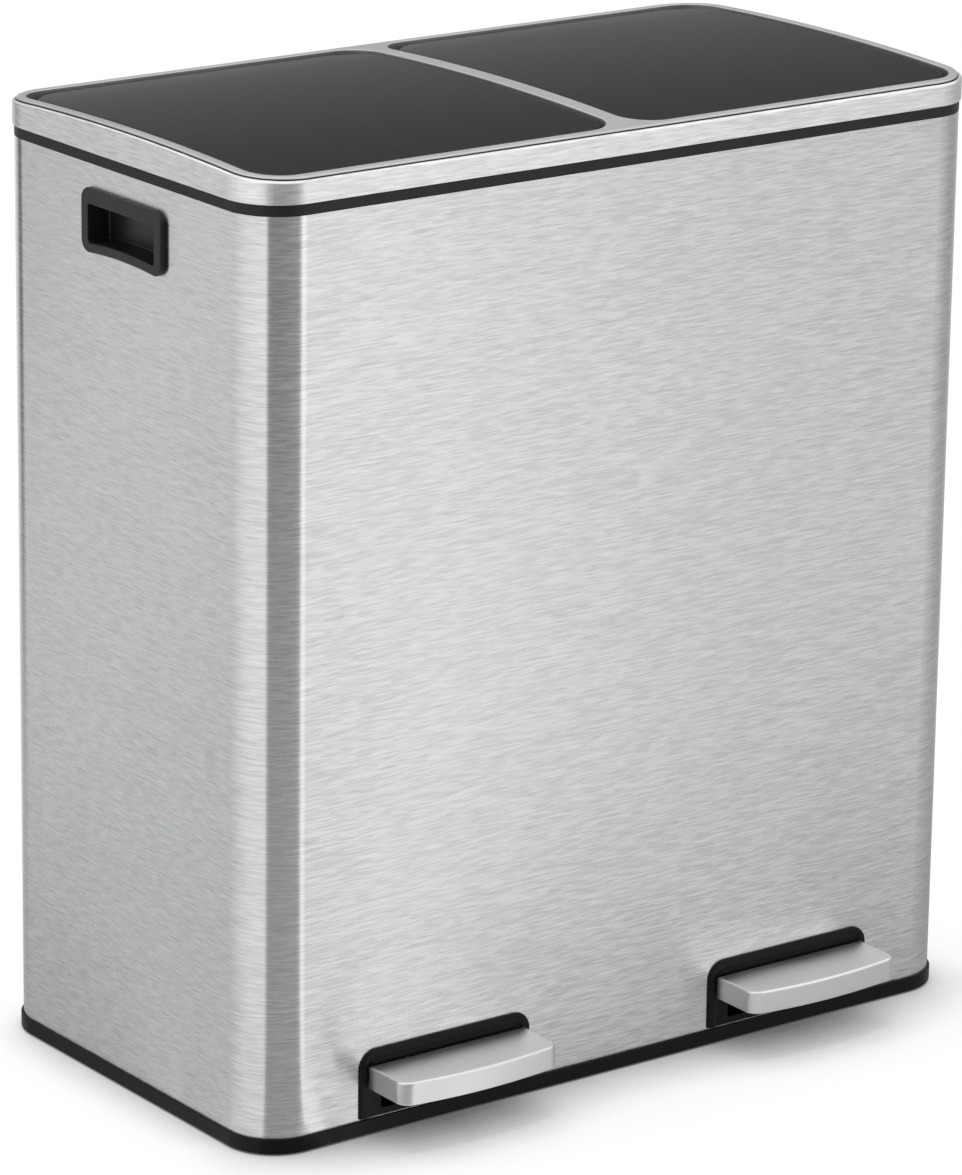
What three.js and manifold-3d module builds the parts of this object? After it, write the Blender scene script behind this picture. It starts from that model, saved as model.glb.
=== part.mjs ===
// Double pedal bin for sorting rubbish: a brushed steel casing on a black base, two lift-out buckets,
// and two hinged lids, each raised by its own pedal through a lever, a push rod and a crank.
// Millimetres, +Z up, the front faces -Y. The origin is on the floor, at the centre of the footprint.

import * as THREE from 'three';
import { mergeVertices } from 'three/addons/utils/BufferGeometryUtils.js';
import Module from 'manifold-3d';

const wasm = await Module();
wasm.setup();

// ---------------------------------------------------------------------------------------------
// Driving dimensions, in millimetres and degrees
// ---------------------------------------------------------------------------------------------

const GAP = 0.3; // between two pieces that touch
const RUNNING_GAP = 0.5; // beside a piece that turns or slides
const SPREAD = 1000; // reach of a cutting block that only has to pass the whole object

const LARGE_ARC_STEPS = 4; // curve steps on the casing's corners, two facets each in a quarter turn
const TRIM_ARC_STEPS = 3; // the same on handles, surrounds, pedals and buckets
const PIN_ARC_STEPS = 6; // curve steps on pins and bores, two facets each in a full turn

// Casing: one sheet wrapped round, with a lock seam at the back
const SHELL_WIDTH = 585;
const SHELL_DEPTH = 312;
const SHELL_HEIGHT = 617;
const SHELL_CORNER = 35.5;
const SHELL_SHEET = 0.8;
const SEAM_WIDTH = 12;
const SEAM_END_GAP = 1;

// Base tray, its skirt round the casing's lower edge, and the feet under it
const FOOT_PROUD = 1;
const FOOT_RADIUS = 13;
const FOOT_INSET = 42;
const SKIRT_PROUD = 1.7;
const SKIRT_WALL = 3;
const SKIRT_LIP = 3.8;
const BASE_RECESS = 3.7;
const BASE_FLOOR = 3;
const UPSTAND_HEIGHT = 16;
const UPSTAND_WALL = 2.5;
const PLINTH_WALL = 5;
const PLINTH_SPREAD = 160;
const PLINTH_LENGTH = 190;

// Collar between casing and lid frame, with the deck round the buckets
const COLLAR_HEIGHT = 6.9;
const COLLAR_PROUD = 0.2;
const SPIGOT_DEPTH = 20;
const SPIGOT_WALL = 2;
const BUCKET_PLAY = 2.5;

// Lid frame: a side band, a top flange with two openings, and lips turned down round them
const FRAME_HEIGHT = 17.5;
const FRAME_PROUD = 1.4;
const FRAME_WALL = 2;
const FRAME_TOP = 2.5;
const FRAME_EDGE = 1;
const FLANGE_WIDTH = 10;
const DIVIDER_WIDTH = 13;
const OPENING_CORNER = 25;
const LIP_WALL = 1.5;
const LIP_DEPTH = 12;

// Lids
const LID_GAP = 2;
const LID_RECESS = 2;
const LID_CORNER = 29;
const LID_REAR_CORNER = 35;
const LID_PANEL = 2.5;
const LID_RIM_DEPTH = 9.5;
const LID_RIM_WALL = 2;
const LID_EDGE = 3;
const LID_SWING = 80;
const BUFFER_RADIUS = 3;
const BUFFER_PROUD = 1;
const BUFFER_INSET = 31.7;

// Lid hinges: a lid knuckle between two collar ears, on a short pin
const HINGE_SETBACK = 7.9;
const HINGE_DROP = 6.3;
const HINGE_SPREAD = 190;
const HINGE_PIN_RADIUS = 1.5;
const KNUCKLE_RADIUS = 3.5;
const KNUCKLE_WIDTH = 11;
const EAR_WIDTH = 4;
const PIN_HEAD_RADIUS = 2.8;
const PIN_HEAD = 1.2;
const RIM_STOP = 12;

// Crank under each lid and the roller that the push rod lifts
const CRANK_REACH = 20;
const CRANK_PLATE = 2;
const CRANK_FLANGE_WIDTH = 24;
const CRANK_FLANGE_LENGTH = 27;
const CRANK_FLANGE_SETBACK = 7;
const ROLLER_RADIUS = 4;
const ROLLER_WIDTH = 9;
const CRANK_PIN_RADIUS = 1.5;
const CRANK_END_RADIUS = 3;

// Push rod at the back, its cap and guides
const ROD_RADIUS = 3;
const ROD_LIFT_GAP = 0.7;
const CAP_WIDTH = 12;
const CAP_LENGTH = 16;
const CAP_HEIGHT = 12;
const CAP_ROOF = 3;
const GUIDE_WIDTH = 24;
const GUIDE_HEIGHT = 16;
const GUIDE_FRONT_WALL = 5;
const LOWER_GUIDE_RISE = 72;
const UPPER_GUIDE_DROP = 65;
const CRANK_NOTCH_WIDTH = 26;
const CRANK_NOTCH_MARGIN = 5;

// Closing damper beside the push rod
const DAMPER_RADIUS = 7;
const DAMPER_BORE = 5;
const DAMPER_LENGTH = 75;
const DAMPER_END_WALL = 3;
const DAMPER_OFFSET = 26;
const DAMPER_RISE = 300;
const DAMPER_FOOT_WIDTH = 10;
const DAMPER_REAR_GAP = 9;
const PISTON_RADIUS = 2.5;
const PISTON_HEAD_HEIGHT = 6;
const PISTON_TRAVEL_BELOW = 10;
const PISTON_REACH = 45;
const DAMPER_ARM = 4;
const DAMPER_ARM_MARGIN = 4;

// Pedal lever: a steel channel on a pivot pin, held in a bracket on the base
const LEVER_WIDTH = 18;
const LEVER_HEIGHT = 6;
const LEVER_SHEET = 2;
const LEVER_TONGUE = 31;
const LEVER_TONGUE_SETBACK = 33;
const LEVER_REAR_MARGIN = 7;
const LEVER_REAR_RISE = 12.3;
const LEVER_GAP = 0.5;
const LEVER_BOSS_RADIUS = 7;
const PIVOT_SETBACK = 86;
const PIVOT_RISE = 22.3;
const PIVOT_PIN_RADIUS = 3;
const PIVOT_HEAD_RADIUS = 4.5;
const PIVOT_HEAD = 1.5;
const BRACKET_SHEET = 2;
const BRACKET_LENGTH = 20;
const BRACKET_EAR_RADIUS = 7;
const BRACKET_FLANGE = 14;
const SCREW_RADIUS = 1.7;
const SCREW_HEAD_RADIUS = 3.5;
const SCREW_HEAD = 2.2;
const SCREW_LENGTH = 4.6;

// Pedals
const PEDAL_WIDTH = 127;
const PEDAL_REACH = 40.4;
const PEDAL_BOW = 4;
const PEDAL_THICKNESS = 16;
const PEDAL_RISE = 41.8;
const PEDAL_CORNER = 10;
const PEDAL_EDGE = 1.5;
const PEDAL_WALL = 3;
const PEDAL_ROOF = 3;
const PEDAL_FACE_GAP = 0.8;
const PEDAL_SOCKET_WALL = 5;
const TONGUE_DROP = 5;

// Pedal surrounds in the casing's front
const SURROUND_WIDTH = 138;
const SURROUND_HEIGHT = 47.4;
const SURROUND_CORNER = 13;
const SURROUND_PROUD = 2;
const SURROUND_SILL = 1.1;
const SURROUND_BEAD = 7.5;
const SURROUND_STEP = 0.8;
const SURROUND_OVERLAP = 3;
const SURROUND_SLEEVE = 10;
const PEDAL_SLOT_WIDTH = 104;
const PEDAL_SLOT_HEADROOM = 1.5;
const PEDAL_SLOT_SILL = 4.4;

// Carrying handles let into the sides
const HANDLE_LENGTH = 93;
const HANDLE_HEIGHT = 43;
const HANDLE_DROP = 15;
const HANDLE_SHIFT = -1.5;
const HANDLE_CORNER = 8.5;
const HANDLE_PROUD = 3.7;
const HANDLE_EDGE = 1.5;
const HANDLE_ARCH = 1.8;
const GRIP_LENGTH = 77;
const GRIP_HEIGHT = 26;
const GRIP_DROP = 10.5;
const GRIP_CORNER = 2.5;
const GRIP_DEPTH = 17;
const GRIP_WALL = 2;

// Buckets: each keeps these spaces to the lid opening, the casing's front and back, and the lever
const BUCKET_SIDE_SPACE = 12.7;
const BUCKET_FRONT_SPACE = 17.5;
const BUCKET_REAR_SPACE = 48.5;
const BUCKET_LEVER_SPACE = 1.4;
const BUCKET_CORNER = 26;
const BUCKET_WALL = 2;
const BUCKET_RIM_LIP = 3;
const BUCKET_RIM_HEIGHT = 3;
const BUCKET_TAPER = 5;
const BUCKET_SINK = 4.2;
const HAND_SLOT_LENGTH = 84;
const HAND_SLOT_HEIGHT = 24;
const HAND_SLOT_DROP = 16;
const HAND_SLOT_CORNER = 4;

// ---------------------------------------------------------------------------------------------
// Levels and places that follow from the driving dimensions
// ---------------------------------------------------------------------------------------------

// Heights above the floor, from the bottom up
const skirtBottom = FOOT_PROUD;
const floorBottom = skirtBottom + BASE_RECESS;
const floorTop = floorBottom + BASE_FLOOR;
const skirtTop = floorTop + SKIRT_LIP;
const shellBottom = floorTop + GAP;
const shellTop = shellBottom + SHELL_HEIGHT;
const collarBottom = shellTop + GAP;
const collarTop = collarBottom + COLLAR_HEIGHT;
const frameBottom = collarTop + GAP;
const frameTop = frameBottom + FRAME_HEIGHT;
const lidTop = frameTop - LID_RECESS;
const lidUnderside = lidTop - LID_PANEL;
const lidRimBottom = lidTop - LID_RIM_DEPTH;
const bucketTop = collarTop - BUCKET_SINK;

// Plan: outlines of the casing, the frame and its two openings
const shellFront = -SHELL_DEPTH / 2;
const shellRearInside = SHELL_DEPTH / 2 - SHELL_SHEET;
const frameWidth = SHELL_WIDTH + 2 * FRAME_PROUD;
const frameDepth = SHELL_DEPTH + 2 * FRAME_PROUD;
const frameCorner = SHELL_CORNER + FRAME_PROUD;
const openingWidth = (frameWidth - 2 * FLANGE_WIDTH - DIVIDER_WIDTH) / 2;
const openingDepth = frameDepth - 2 * FLANGE_WIDTH;
const sideCentre = (DIVIDER_WIDTH + openingWidth) / 2;
const lidWidth = openingWidth - 2 * LID_GAP;
const lidDepth = openingDepth - 2 * LID_GAP;
const bucketWidth = openingWidth - 2 * BUCKET_SIDE_SPACE;
const bucketDepth = SHELL_DEPTH - BUCKET_FRONT_SPACE - BUCKET_REAR_SPACE;
const bucketCentre = shellFront + BUCKET_FRONT_SPACE + bucketDepth / 2;

// Lid hinge line, roller and push rod
const hingeY = lidDepth / 2 - HINGE_SETBACK;
const hingeZ = lidTop - HINGE_DROP;
const crankAngle = THREE.MathUtils.degToRad(LID_SWING / 2);
const rollerY = hingeY - CRANK_REACH * Math.cos(crankAngle);
const rollerZ = hingeZ - CRANK_REACH * Math.sin(crankAngle);
const rodY = hingeY - (CRANK_REACH * (1 + Math.cos(crankAngle))) / 2;
const capTop = rollerZ - ROLLER_RADIUS - ROD_LIFT_GAP;
const crankPlateOutside = -(CAP_WIDTH / 2 + 1 + CRANK_PLATE);
const rodTop = capTop - CAP_ROOF - GAP;

// Lever: its rear arm slopes down from the pivot to the push rod
const pivotY = shellFront + PIVOT_SETBACK;
const pivotZ = floorTop + PIVOT_RISE;
const leverRear = rodY + LEVER_REAR_MARGIN;
const leverRearTop = floorTop + LEVER_REAR_RISE;
const leverSlope = (pivotZ + LEVER_HEIGHT / 2 - leverRearTop) / (leverRear - pivotY);
const rodBottom = leverRearTop + leverSlope * (LEVER_REAR_MARGIN + ROD_RADIUS) + LEVER_GAP;

// Pedal and surround
const surroundFace = shellFront - SURROUND_PROUD;
const surroundBottom = skirtTop + SURROUND_SILL;
const surroundTop = surroundBottom + SURROUND_HEIGHT;
const pedalRear = surroundFace - PEDAL_FACE_GAP;
const pedalTop = floorTop + PEDAL_RISE;
const pedalBottom = pedalTop - PEDAL_THICKNESS;
const tongueTop = pedalTop - TONGUE_DROP;
const tongueBottom = tongueTop - LEVER_HEIGHT;
const tongueFront = pedalRear - LEVER_TONGUE;

// Each bucket stands clear of its lever, whose rear arm rises as the lid opens
const rodTravel = 2 * CRANK_REACH * Math.sin(crankAngle);
const leverLift = (rodTravel * (leverRear - pivotY)) / (rodY - pivotY);
const bucketBottom = Math.max(tongueTop, leverRearTop + leverLift) + BUCKET_LEVER_SPACE;
const bucketHeight = bucketTop - bucketBottom;

// Carrying handles
const handleTop = shellTop - HANDLE_DROP;
const gripTop = handleTop - GRIP_DROP;

// The pedals reach further than the back, so the casing stands back from the footprint's centre
const frontReach = pedalRear - PEDAL_REACH - PEDAL_BOW;
const rearReach = SHELL_DEPTH / 2 + Math.max(SKIRT_PROUD, FRAME_PROUD);
const footprintShift = -(frontReach + rearReach) / 2;

// ---------------------------------------------------------------------------------------------
// Finishes
// ---------------------------------------------------------------------------------------------

const FINISHES = {
  brushedSteel: { color: 0xbfc1c2, roughness: 0.36, metalness: 1 },
  satinSilver: { color: 0xb4b6b8, roughness: 0.34, metalness: 0.8 },
  plainSteel: { color: 0x9a9c9f, roughness: 0.45, metalness: 1 },
  blackPlastic: { color: 0x222223, roughness: 0.5, metalness: 0 },
  blackLid: { color: 0x1b1b1c, roughness: 0.3, metalness: 0 },
  greyBucket: { color: 0x4a4d50, roughness: 0.55, metalness: 0 },
  whiteNylon: { color: 0xd8d8d4, roughness: 0.5, metalness: 0 },
  blackRubber: { color: 0x161616, roughness: 0.85, metalness: 0 },
};

// ---------------------------------------------------------------------------------------------
// Outlines and solids
// ---------------------------------------------------------------------------------------------

/** Outline of a rectangle with one radius at the two lower corners and one at the two upper ones. */
function cornerOutline(left, right, bottom, top, lowerRadius, upperRadius) {
  const shape = new THREE.Shape();
  const quarter = Math.PI / 2;
  const lower = Math.max(lowerRadius, 0.01);
  const upper = Math.max(upperRadius, 0.01);
  shape.moveTo(left + lower, bottom);
  shape.lineTo(right - lower, bottom);
  shape.absarc(right - lower, bottom + lower, lower, -quarter, 0, false);
  shape.lineTo(right, top - upper);
  shape.absarc(right - upper, top - upper, upper, 0, quarter, false);
  shape.lineTo(left + upper, top);
  shape.absarc(left + upper, top - upper, upper, quarter, 2 * quarter, false);
  shape.lineTo(left, bottom + lower);
  shape.absarc(left + lower, bottom + lower, lower, 2 * quarter, 3 * quarter, false);
  return shape;
}

/** Outline of a rectangle of one corner radius, centred on a point. */
function roundedRectangle(width, depth, radius, centreX = 0, centreY = 0) {
  const left = centreX - width / 2;
  const bottom = centreY - depth / 2;
  return cornerOutline(left, left + width, bottom, bottom + depth, radius, radius);
}

/** Outline of the casing grown outwards by an amount, or drawn in by a negative one. */
function casingOutline(growth) {
  return roundedRectangle(SHELL_WIDTH + 2 * growth, SHELL_DEPTH + 2 * growth, SHELL_CORNER + growth);
}

/** Outline of one opening of the lid frame, grown outwards, centred on its side. */
function openingOutline(growth) {
  return roundedRectangle(openingWidth + 2 * growth, openingDepth + 2 * growth, OPENING_CORNER + growth);
}

/** Outline of a circle. */
function circle(radius, centreX, centreY) {
  const shape = new THREE.Shape();
  shape.absarc(centreX, centreY, radius, 0, 2 * Math.PI, false);
  return shape;
}

/** Outline through points. */
function polygon(points) {
  return new THREE.Shape(points.map(([u, v]) => new THREE.Vector2(u, v)));
}

/** A closed geometry as a solid that can be joined and cut. */
function toSolid(geometry) {
  geometry.deleteAttribute('normal');
  geometry.deleteAttribute('uv');
  const merged = mergeVertices(geometry, 1e-5);
  const mesh = new wasm.Mesh({
    numProp: 3,
    vertProperties: new Float32Array(merged.attributes.position.array),
    triVerts: new Uint32Array(merged.index.array),
  });
  return new wasm.Manifold(mesh);
}

/**
 * An outline pushed along one axis. Along z the outline lies in x and y, along x in y and z,
 * and along y in x and z.
 */
function extrude(axis, shape, from, to, steps = LARGE_ARC_STEPS) {
  const depth = to - from;
  const geometry = new THREE.ExtrudeGeometry(shape, { depth, bevelEnabled: false, curveSegments: steps });
  if (axis === 'x') {
    const turn = new THREE.Matrix4();
    turn.makeBasis(new THREE.Vector3(0, 1, 0), new THREE.Vector3(0, 0, 1), new THREE.Vector3(1, 0, 0));
    geometry.applyMatrix4(turn);
    geometry.translate(from, 0, 0);
  } else if (axis === 'y') {
    geometry.rotateX(Math.PI / 2);
    geometry.translate(0, to, 0);
  } else {
    geometry.translate(0, 0, from);
  }
  return toSolid(geometry);
}

/** An upright block whose top edge is rounded off. */
function crownedPrism(shape, bottom, top, edge, edgeSteps, steps = LARGE_ARC_STEPS) {
  const options = {
    depth: top - bottom,
    bevelEnabled: true,
    bevelSize: edge,
    bevelThickness: edge,
    bevelOffset: -edge,
    bevelSegments: edgeSteps,
    curveSegments: steps,
  };
  const geometry = new THREE.ExtrudeGeometry(shape, options);
  geometry.translate(0, 0, bottom - edge);
  return toSolid(geometry).intersect(box(-SPREAD, SPREAD, -SPREAD, SPREAD, bottom, top));
}

/** A block from its lowest to its highest corner. */
function box(x0, x1, y0, y1, z0, z1) {
  const geometry = new THREE.BoxGeometry(x1 - x0, y1 - y0, z1 - z0);
  geometry.translate((x0 + x1) / 2, (y0 + y1) / 2, (z0 + z1) / 2);
  return toSolid(geometry);
}

/** A round bar along x, y or z; a and b are its centre in the other two, in that order. */
function bar(axis, radius, from, to, a, b) {
  return extrude(axis, circle(radius, a, b), from, to, PIN_ARC_STEPS);
}

/** A pin along x with a head at each end. */
function headedPin(radius, headRadius, head, halfLength, y, z) {
  return bar('x', radius, -halfLength, halfLength, y, z)
    .add(bar('x', headRadius, -halfLength - head, -halfLength, y, z))
    .add(bar('x', headRadius, halfLength, halfLength + head, y, z));
}

/** The same solid at each of the given places along x. */
function repeatAlongX(solid, places) {
  return places.map((x) => solid.translate(x, 0, 0)).reduce((joined, copy) => joined.add(copy));
}

/** A mesh of a solid, under its piece's name and in its own finish. */
function piece(parent, name, solid, finish) {
  const { vertProperties, triVerts } = solid.getMesh();
  const geometry = new THREE.BufferGeometry();
  geometry.setAttribute('position', new THREE.BufferAttribute(new Float32Array(vertProperties), 3));
  geometry.setIndex(new THREE.BufferAttribute(new Uint32Array(triVerts), 1));
  geometry.computeVertexNormals();
  const mesh = new THREE.Mesh(geometry, new THREE.MeshStandardMaterial({ ...finish, flatShading: true }));
  mesh.name = name;
  parent.add(mesh);
  return mesh;
}

// ---------------------------------------------------------------------------------------------
// Casing, base and rim
// ---------------------------------------------------------------------------------------------

/** Outline of a pedal surround drawn in by an amount, centred on its side. */
function surroundOutline(inset) {
  const half = SURROUND_WIDTH / 2 - inset;
  const upper = SURROUND_CORNER - inset;
  return cornerOutline(-half, half, surroundBottom + inset, surroundTop - inset, 0, upper);
}

/** Outline, in y and z, of a handle's edge or recess: its lower edge arches up in the middle. */
function handleOutline(length, top, height, radius) {
  const front = HANDLE_SHIFT - length / 2;
  const rear = HANDLE_SHIFT + length / 2;
  const bottom = top - height;
  const shape = new THREE.Shape();
  const quarter = Math.PI / 2;
  shape.moveTo(front + radius, bottom);
  shape.quadraticCurveTo(HANDLE_SHIFT, bottom + 2 * HANDLE_ARCH, rear - radius, bottom);
  shape.absarc(rear - radius, bottom + radius, radius, -quarter, 0, false);
  shape.lineTo(rear, top - radius);
  shape.absarc(rear - radius, top - radius, radius, 0, quarter, false);
  shape.lineTo(front + radius, top);
  shape.absarc(front + radius, top - radius, radius, quarter, 2 * quarter, false);
  shape.lineTo(front, bottom + radius);
  shape.absarc(front + radius, bottom + radius, radius, 2 * quarter, 3 * quarter, false);
  return shape;
}

/** Outline of a handle's recess, grown outwards by an amount. */
function gripOutline(growth) {
  const length = GRIP_LENGTH + 2 * growth;
  return handleOutline(length, gripTop + growth, GRIP_HEIGHT + 2 * growth, GRIP_CORNER + growth);
}

/** The wrapped sheet, with its lock seam and the cut-outs for handles and pedals. */
function makeShell() {
  const outside = extrude('z', casingOutline(0), shellBottom, shellTop);
  const inside = extrude('z', casingOutline(-SHELL_SHEET), shellBottom - 1, shellTop + 1);
  const rear = SHELL_DEPTH / 2;
  const seam = box(
    -SEAM_WIDTH / 2,
    SEAM_WIDTH / 2,
    rear - SHELL_SHEET / 2,
    rear + SHELL_SHEET,
    skirtTop + SEAM_END_GAP,
    shellTop - SEAM_END_GAP,
  );
  const pedalOutside = surroundOutline(SURROUND_OVERLAP - GAP);
  const pedalHole = extrude('y', pedalOutside, shellFront - 1, shellFront / 2, TRIM_ARC_STEPS);
  const handleHoles = extrude('x', gripOutline(GRIP_WALL + GAP), -SPREAD, SPREAD, TRIM_ARC_STEPS);
  return outside
    .subtract(inside)
    .add(seam)
    .subtract(repeatAlongX(pedalHole, [-sideCentre, sideCentre]))
    .subtract(handleHoles);
}

/** The moulded base: skirt, floor, upstand inside the casing, and the plinths under the buckets. */
function makeBaseTray() {
  const skirt = extrude('z', casingOutline(SKIRT_PROUD), skirtBottom, skirtTop);
  const underside = extrude('z', casingOutline(SKIRT_PROUD - SKIRT_WALL), skirtBottom - 1, floorBottom);
  const shellSeat = extrude('z', casingOutline(GAP), floorTop, skirtTop + 1);
  const upstandTop = floorTop + UPSTAND_HEIGHT;
  const upstandOutside = -SHELL_SHEET - GAP;
  const upstand = extrude('z', casingOutline(upstandOutside), floorBottom, upstandTop);
  const upstandInside = extrude('z', casingOutline(upstandOutside - UPSTAND_WALL), floorTop, upstandTop + 1);
  const slotHalf = SURROUND_WIDTH / 2;
  const pedalGap = box(-slotHalf, slotHalf, shellFront, shellFront / 2, surroundBottom, upstandTop + 1);
  const plinthHalf = PLINTH_LENGTH / 2;
  const plinth = box(
    -PLINTH_WALL / 2,
    PLINTH_WALL / 2,
    bucketCentre - plinthHalf,
    bucketCentre + plinthHalf,
    floorBottom,
    bucketBottom - GAP,
  );
  const plinths = repeatAlongX(plinth, [-PLINTH_SPREAD / 2, PLINTH_SPREAD / 2]);
  const screwHole = bar('z', SCREW_RADIUS + GAP, skirtBottom, floorTop + 1, 0, pivotY);
  const screwHoles = repeatAlongX(screwHole, [-screwPlace(), screwPlace()]);
  const sides = [-sideCentre, sideCentre];
  return skirt
    .subtract(shellSeat)
    .add(upstand)
    .subtract(underside)
    .subtract(upstandInside)
    .subtract(repeatAlongX(pedalGap, sides))
    .add(repeatAlongX(plinths, sides))
    .subtract(repeatAlongX(screwHoles, sides));
}

/** One rubber foot, under the base's floor. */
function makeFoot(x, y) {
  return bar('z', FOOT_RADIUS, 0, floorBottom - GAP, x, y);
}

/** Outline of the deck's opening for one bucket, centred on its side. */
function deckOutline() {
  const width = bucketWidth + 2 * BUCKET_PLAY;
  const depth = bucketDepth + 2 * BUCKET_PLAY;
  return roundedRectangle(width, depth, BUCKET_CORNER + BUCKET_PLAY, 0, bucketCentre);
}

/** One collar ear that carries a hinge pin, its bore along x. */
function makeEar(left) {
  const right = left + EAR_WIDTH;
  return box(left, right, hingeY - KNUCKLE_RADIUS, hingeY + KNUCKLE_RADIUS, collarBottom, hingeZ)
    .add(bar('x', KNUCKLE_RADIUS, left, right, hingeY, hingeZ))
    .subtract(bar('x', HINGE_PIN_RADIUS + GAP, left - 1, right + 1, hingeY, hingeZ));
}

/** The black collar: band and deck, spigot in the casing, notches for the cranks, hinge ears. */
function makeCollar() {
  const deck = extrude('z', casingOutline(COLLAR_PROUD), collarBottom, collarTop);
  const spigotOutside = -SHELL_SHEET - GAP;
  const spigotBottom = collarBottom - SPIGOT_DEPTH;
  const spigot = extrude('z', casingOutline(spigotOutside), spigotBottom, collarTop);
  const spigotInner = casingOutline(spigotOutside - SPIGOT_WALL);
  const spigotInside = extrude('z', spigotInner, spigotBottom - 1, collarBottom);
  const bucketHole = extrude('z', deckOutline(), spigotBottom, collarTop + 1, TRIM_ARC_STEPS);
  const notchRear = rollerY + CRANK_END_RADIUS + CRANK_NOTCH_MARGIN;
  const notchHalf = CRANK_NOTCH_WIDTH / 2;
  const notch = box(-notchHalf, notchHalf, bucketCentre, notchRear, collarBottom - 1, collarTop + 1);
  const innerEar = KNUCKLE_WIDTH / 2 + RUNNING_GAP;
  const earPair = makeEar(innerEar).add(makeEar(-innerEar - EAR_WIDTH));
  const ears = repeatAlongX(earPair, [-HINGE_SPREAD / 2, HINGE_SPREAD / 2]);
  const sides = [-sideCentre, sideCentre];
  return deck
    .add(spigot)
    .subtract(spigotInside)
    .subtract(repeatAlongX(bucketHole, sides))
    .subtract(repeatAlongX(notch, sides))
    .add(repeatAlongX(ears, sides));
}

/** The silver lid frame: side band, flange and divider, with lips turned down round both openings. */
function makeLidFrame() {
  const outline = roundedRectangle(frameWidth, frameDepth, frameCorner);
  const outside = crownedPrism(outline, frameBottom, frameTop, FRAME_EDGE, 2);
  const hollow = extrude('z', casingOutline(FRAME_PROUD - FRAME_WALL), frameBottom - 1, frameTop - FRAME_TOP);
  const sides = [-sideCentre, sideCentre];
  const lips = extrude('z', openingOutline(LIP_WALL), frameTop - LIP_DEPTH, frameTop - FRAME_TOP / 2);
  const openings = extrude('z', openingOutline(0), frameBottom - 1, frameTop + 1);
  return outside
    .subtract(hollow)
    .add(repeatAlongX(lips, sides))
    .subtract(repeatAlongX(openings, sides));
}

/** One side handle: edge outside the casing and a closed recess behind it, facing -X. */
function makeHandle() {
  const face = -SHELL_WIDTH / 2 - HANDLE_PROUD;
  const lipInside = -SHELL_WIDTH / 2 - GAP;
  const recessEnd = face + GRIP_DEPTH;
  const edgeStep = HANDLE_EDGE / 2;
  const inset = 2 * edgeStep;
  const outer = handleOutline(HANDLE_LENGTH, handleTop, HANDLE_HEIGHT, HANDLE_CORNER);
  const crown = handleOutline(
    HANDLE_LENGTH - 2 * inset,
    handleTop - inset,
    HANDLE_HEIGHT - 2 * inset,
    HANDLE_CORNER - inset,
  );
  const sleeve = gripOutline(GRIP_WALL);
  return extrude('x', outer, face + HANDLE_EDGE, lipInside, TRIM_ARC_STEPS)
    .add(extrude('x', crown, face, lipInside, TRIM_ARC_STEPS))
    .add(extrude('x', sleeve, lipInside - edgeStep, recessEnd + GRIP_WALL, TRIM_ARC_STEPS))
    .subtract(extrude('x', gripOutline(0), face - 1, recessEnd, TRIM_ARC_STEPS));
}

/** One pedal surround: beaded lip, sleeve through the casing and the slot for the lever. */
function makeSurround() {
  const lipRear = shellFront - GAP;
  const sleeveRear = lipRear + SURROUND_SLEEVE;
  const slotHalf = PEDAL_SLOT_WIDTH / 2;
  const slotBottom = surroundBottom + PEDAL_SLOT_SILL;
  const slotTop = tongueTop + PEDAL_SLOT_HEADROOM;
  const panelHalf = SURROUND_WIDTH / 2 - SURROUND_BEAD;
  const panel = cornerOutline(
    -panelHalf,
    panelHalf,
    surroundBottom - 1,
    surroundTop - SURROUND_BEAD,
    0,
    SURROUND_CORNER - SURROUND_BEAD,
  );
  const sleeve = surroundOutline(SURROUND_OVERLAP);
  return extrude('y', surroundOutline(0), surroundFace, lipRear, TRIM_ARC_STEPS)
    .add(extrude('y', sleeve, lipRear - SURROUND_STEP, sleeveRear, TRIM_ARC_STEPS))
    .subtract(extrude('y', panel, surroundFace - 1, surroundFace + SURROUND_STEP, TRIM_ARC_STEPS))
    .subtract(box(-slotHalf, slotHalf, surroundFace - 1, sleeveRear + 1, slotBottom, slotTop));
}

// ---------------------------------------------------------------------------------------------
// Buckets and lids
// ---------------------------------------------------------------------------------------------

/** A block over the bucket's plan, narrowing towards the bucket's bottom. */
function taperedBlock(inset, bottom, top) {
  const width = bucketWidth - 2 * (BUCKET_RIM_LIP + inset);
  const depth = bucketDepth - 2 * (BUCKET_RIM_LIP + inset);
  const shape = roundedRectangle(width, depth, BUCKET_CORNER - BUCKET_RIM_LIP - inset);
  const block = extrude('z', shape, bottom, top, TRIM_ARC_STEPS);
  const draw = BUCKET_TAPER / bucketHeight;
  const narrowed = block.warp((point) => {
    const shrink = 1 - (draw * (bucketTop - point[2])) / (width / 2);
    point[0] *= shrink;
    point[1] *= shrink;
  });
  return narrowed.translate(0, bucketCentre, 0);
}

/** One lift-out bucket: tapered wall, floor, rim and a hand slot in each side. */
function makeBucket() {
  const rim = roundedRectangle(bucketWidth, bucketDepth, BUCKET_CORNER, 0, bucketCentre);
  const slotTop = bucketTop - HAND_SLOT_DROP;
  const slotHalf = HAND_SLOT_LENGTH / 2;
  const slot = cornerOutline(
    bucketCentre - slotHalf,
    bucketCentre + slotHalf,
    slotTop - HAND_SLOT_HEIGHT,
    slotTop,
    HAND_SLOT_CORNER,
    HAND_SLOT_CORNER,
  );
  return taperedBlock(0, bucketBottom, bucketTop)
    .add(extrude('z', rim, bucketTop - BUCKET_RIM_HEIGHT, bucketTop, TRIM_ARC_STEPS))
    .subtract(taperedBlock(BUCKET_WALL, bucketBottom + BUCKET_WALL, bucketTop + 1))
    .subtract(extrude('x', slot, -SPREAD, SPREAD, TRIM_ARC_STEPS));
}

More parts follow.
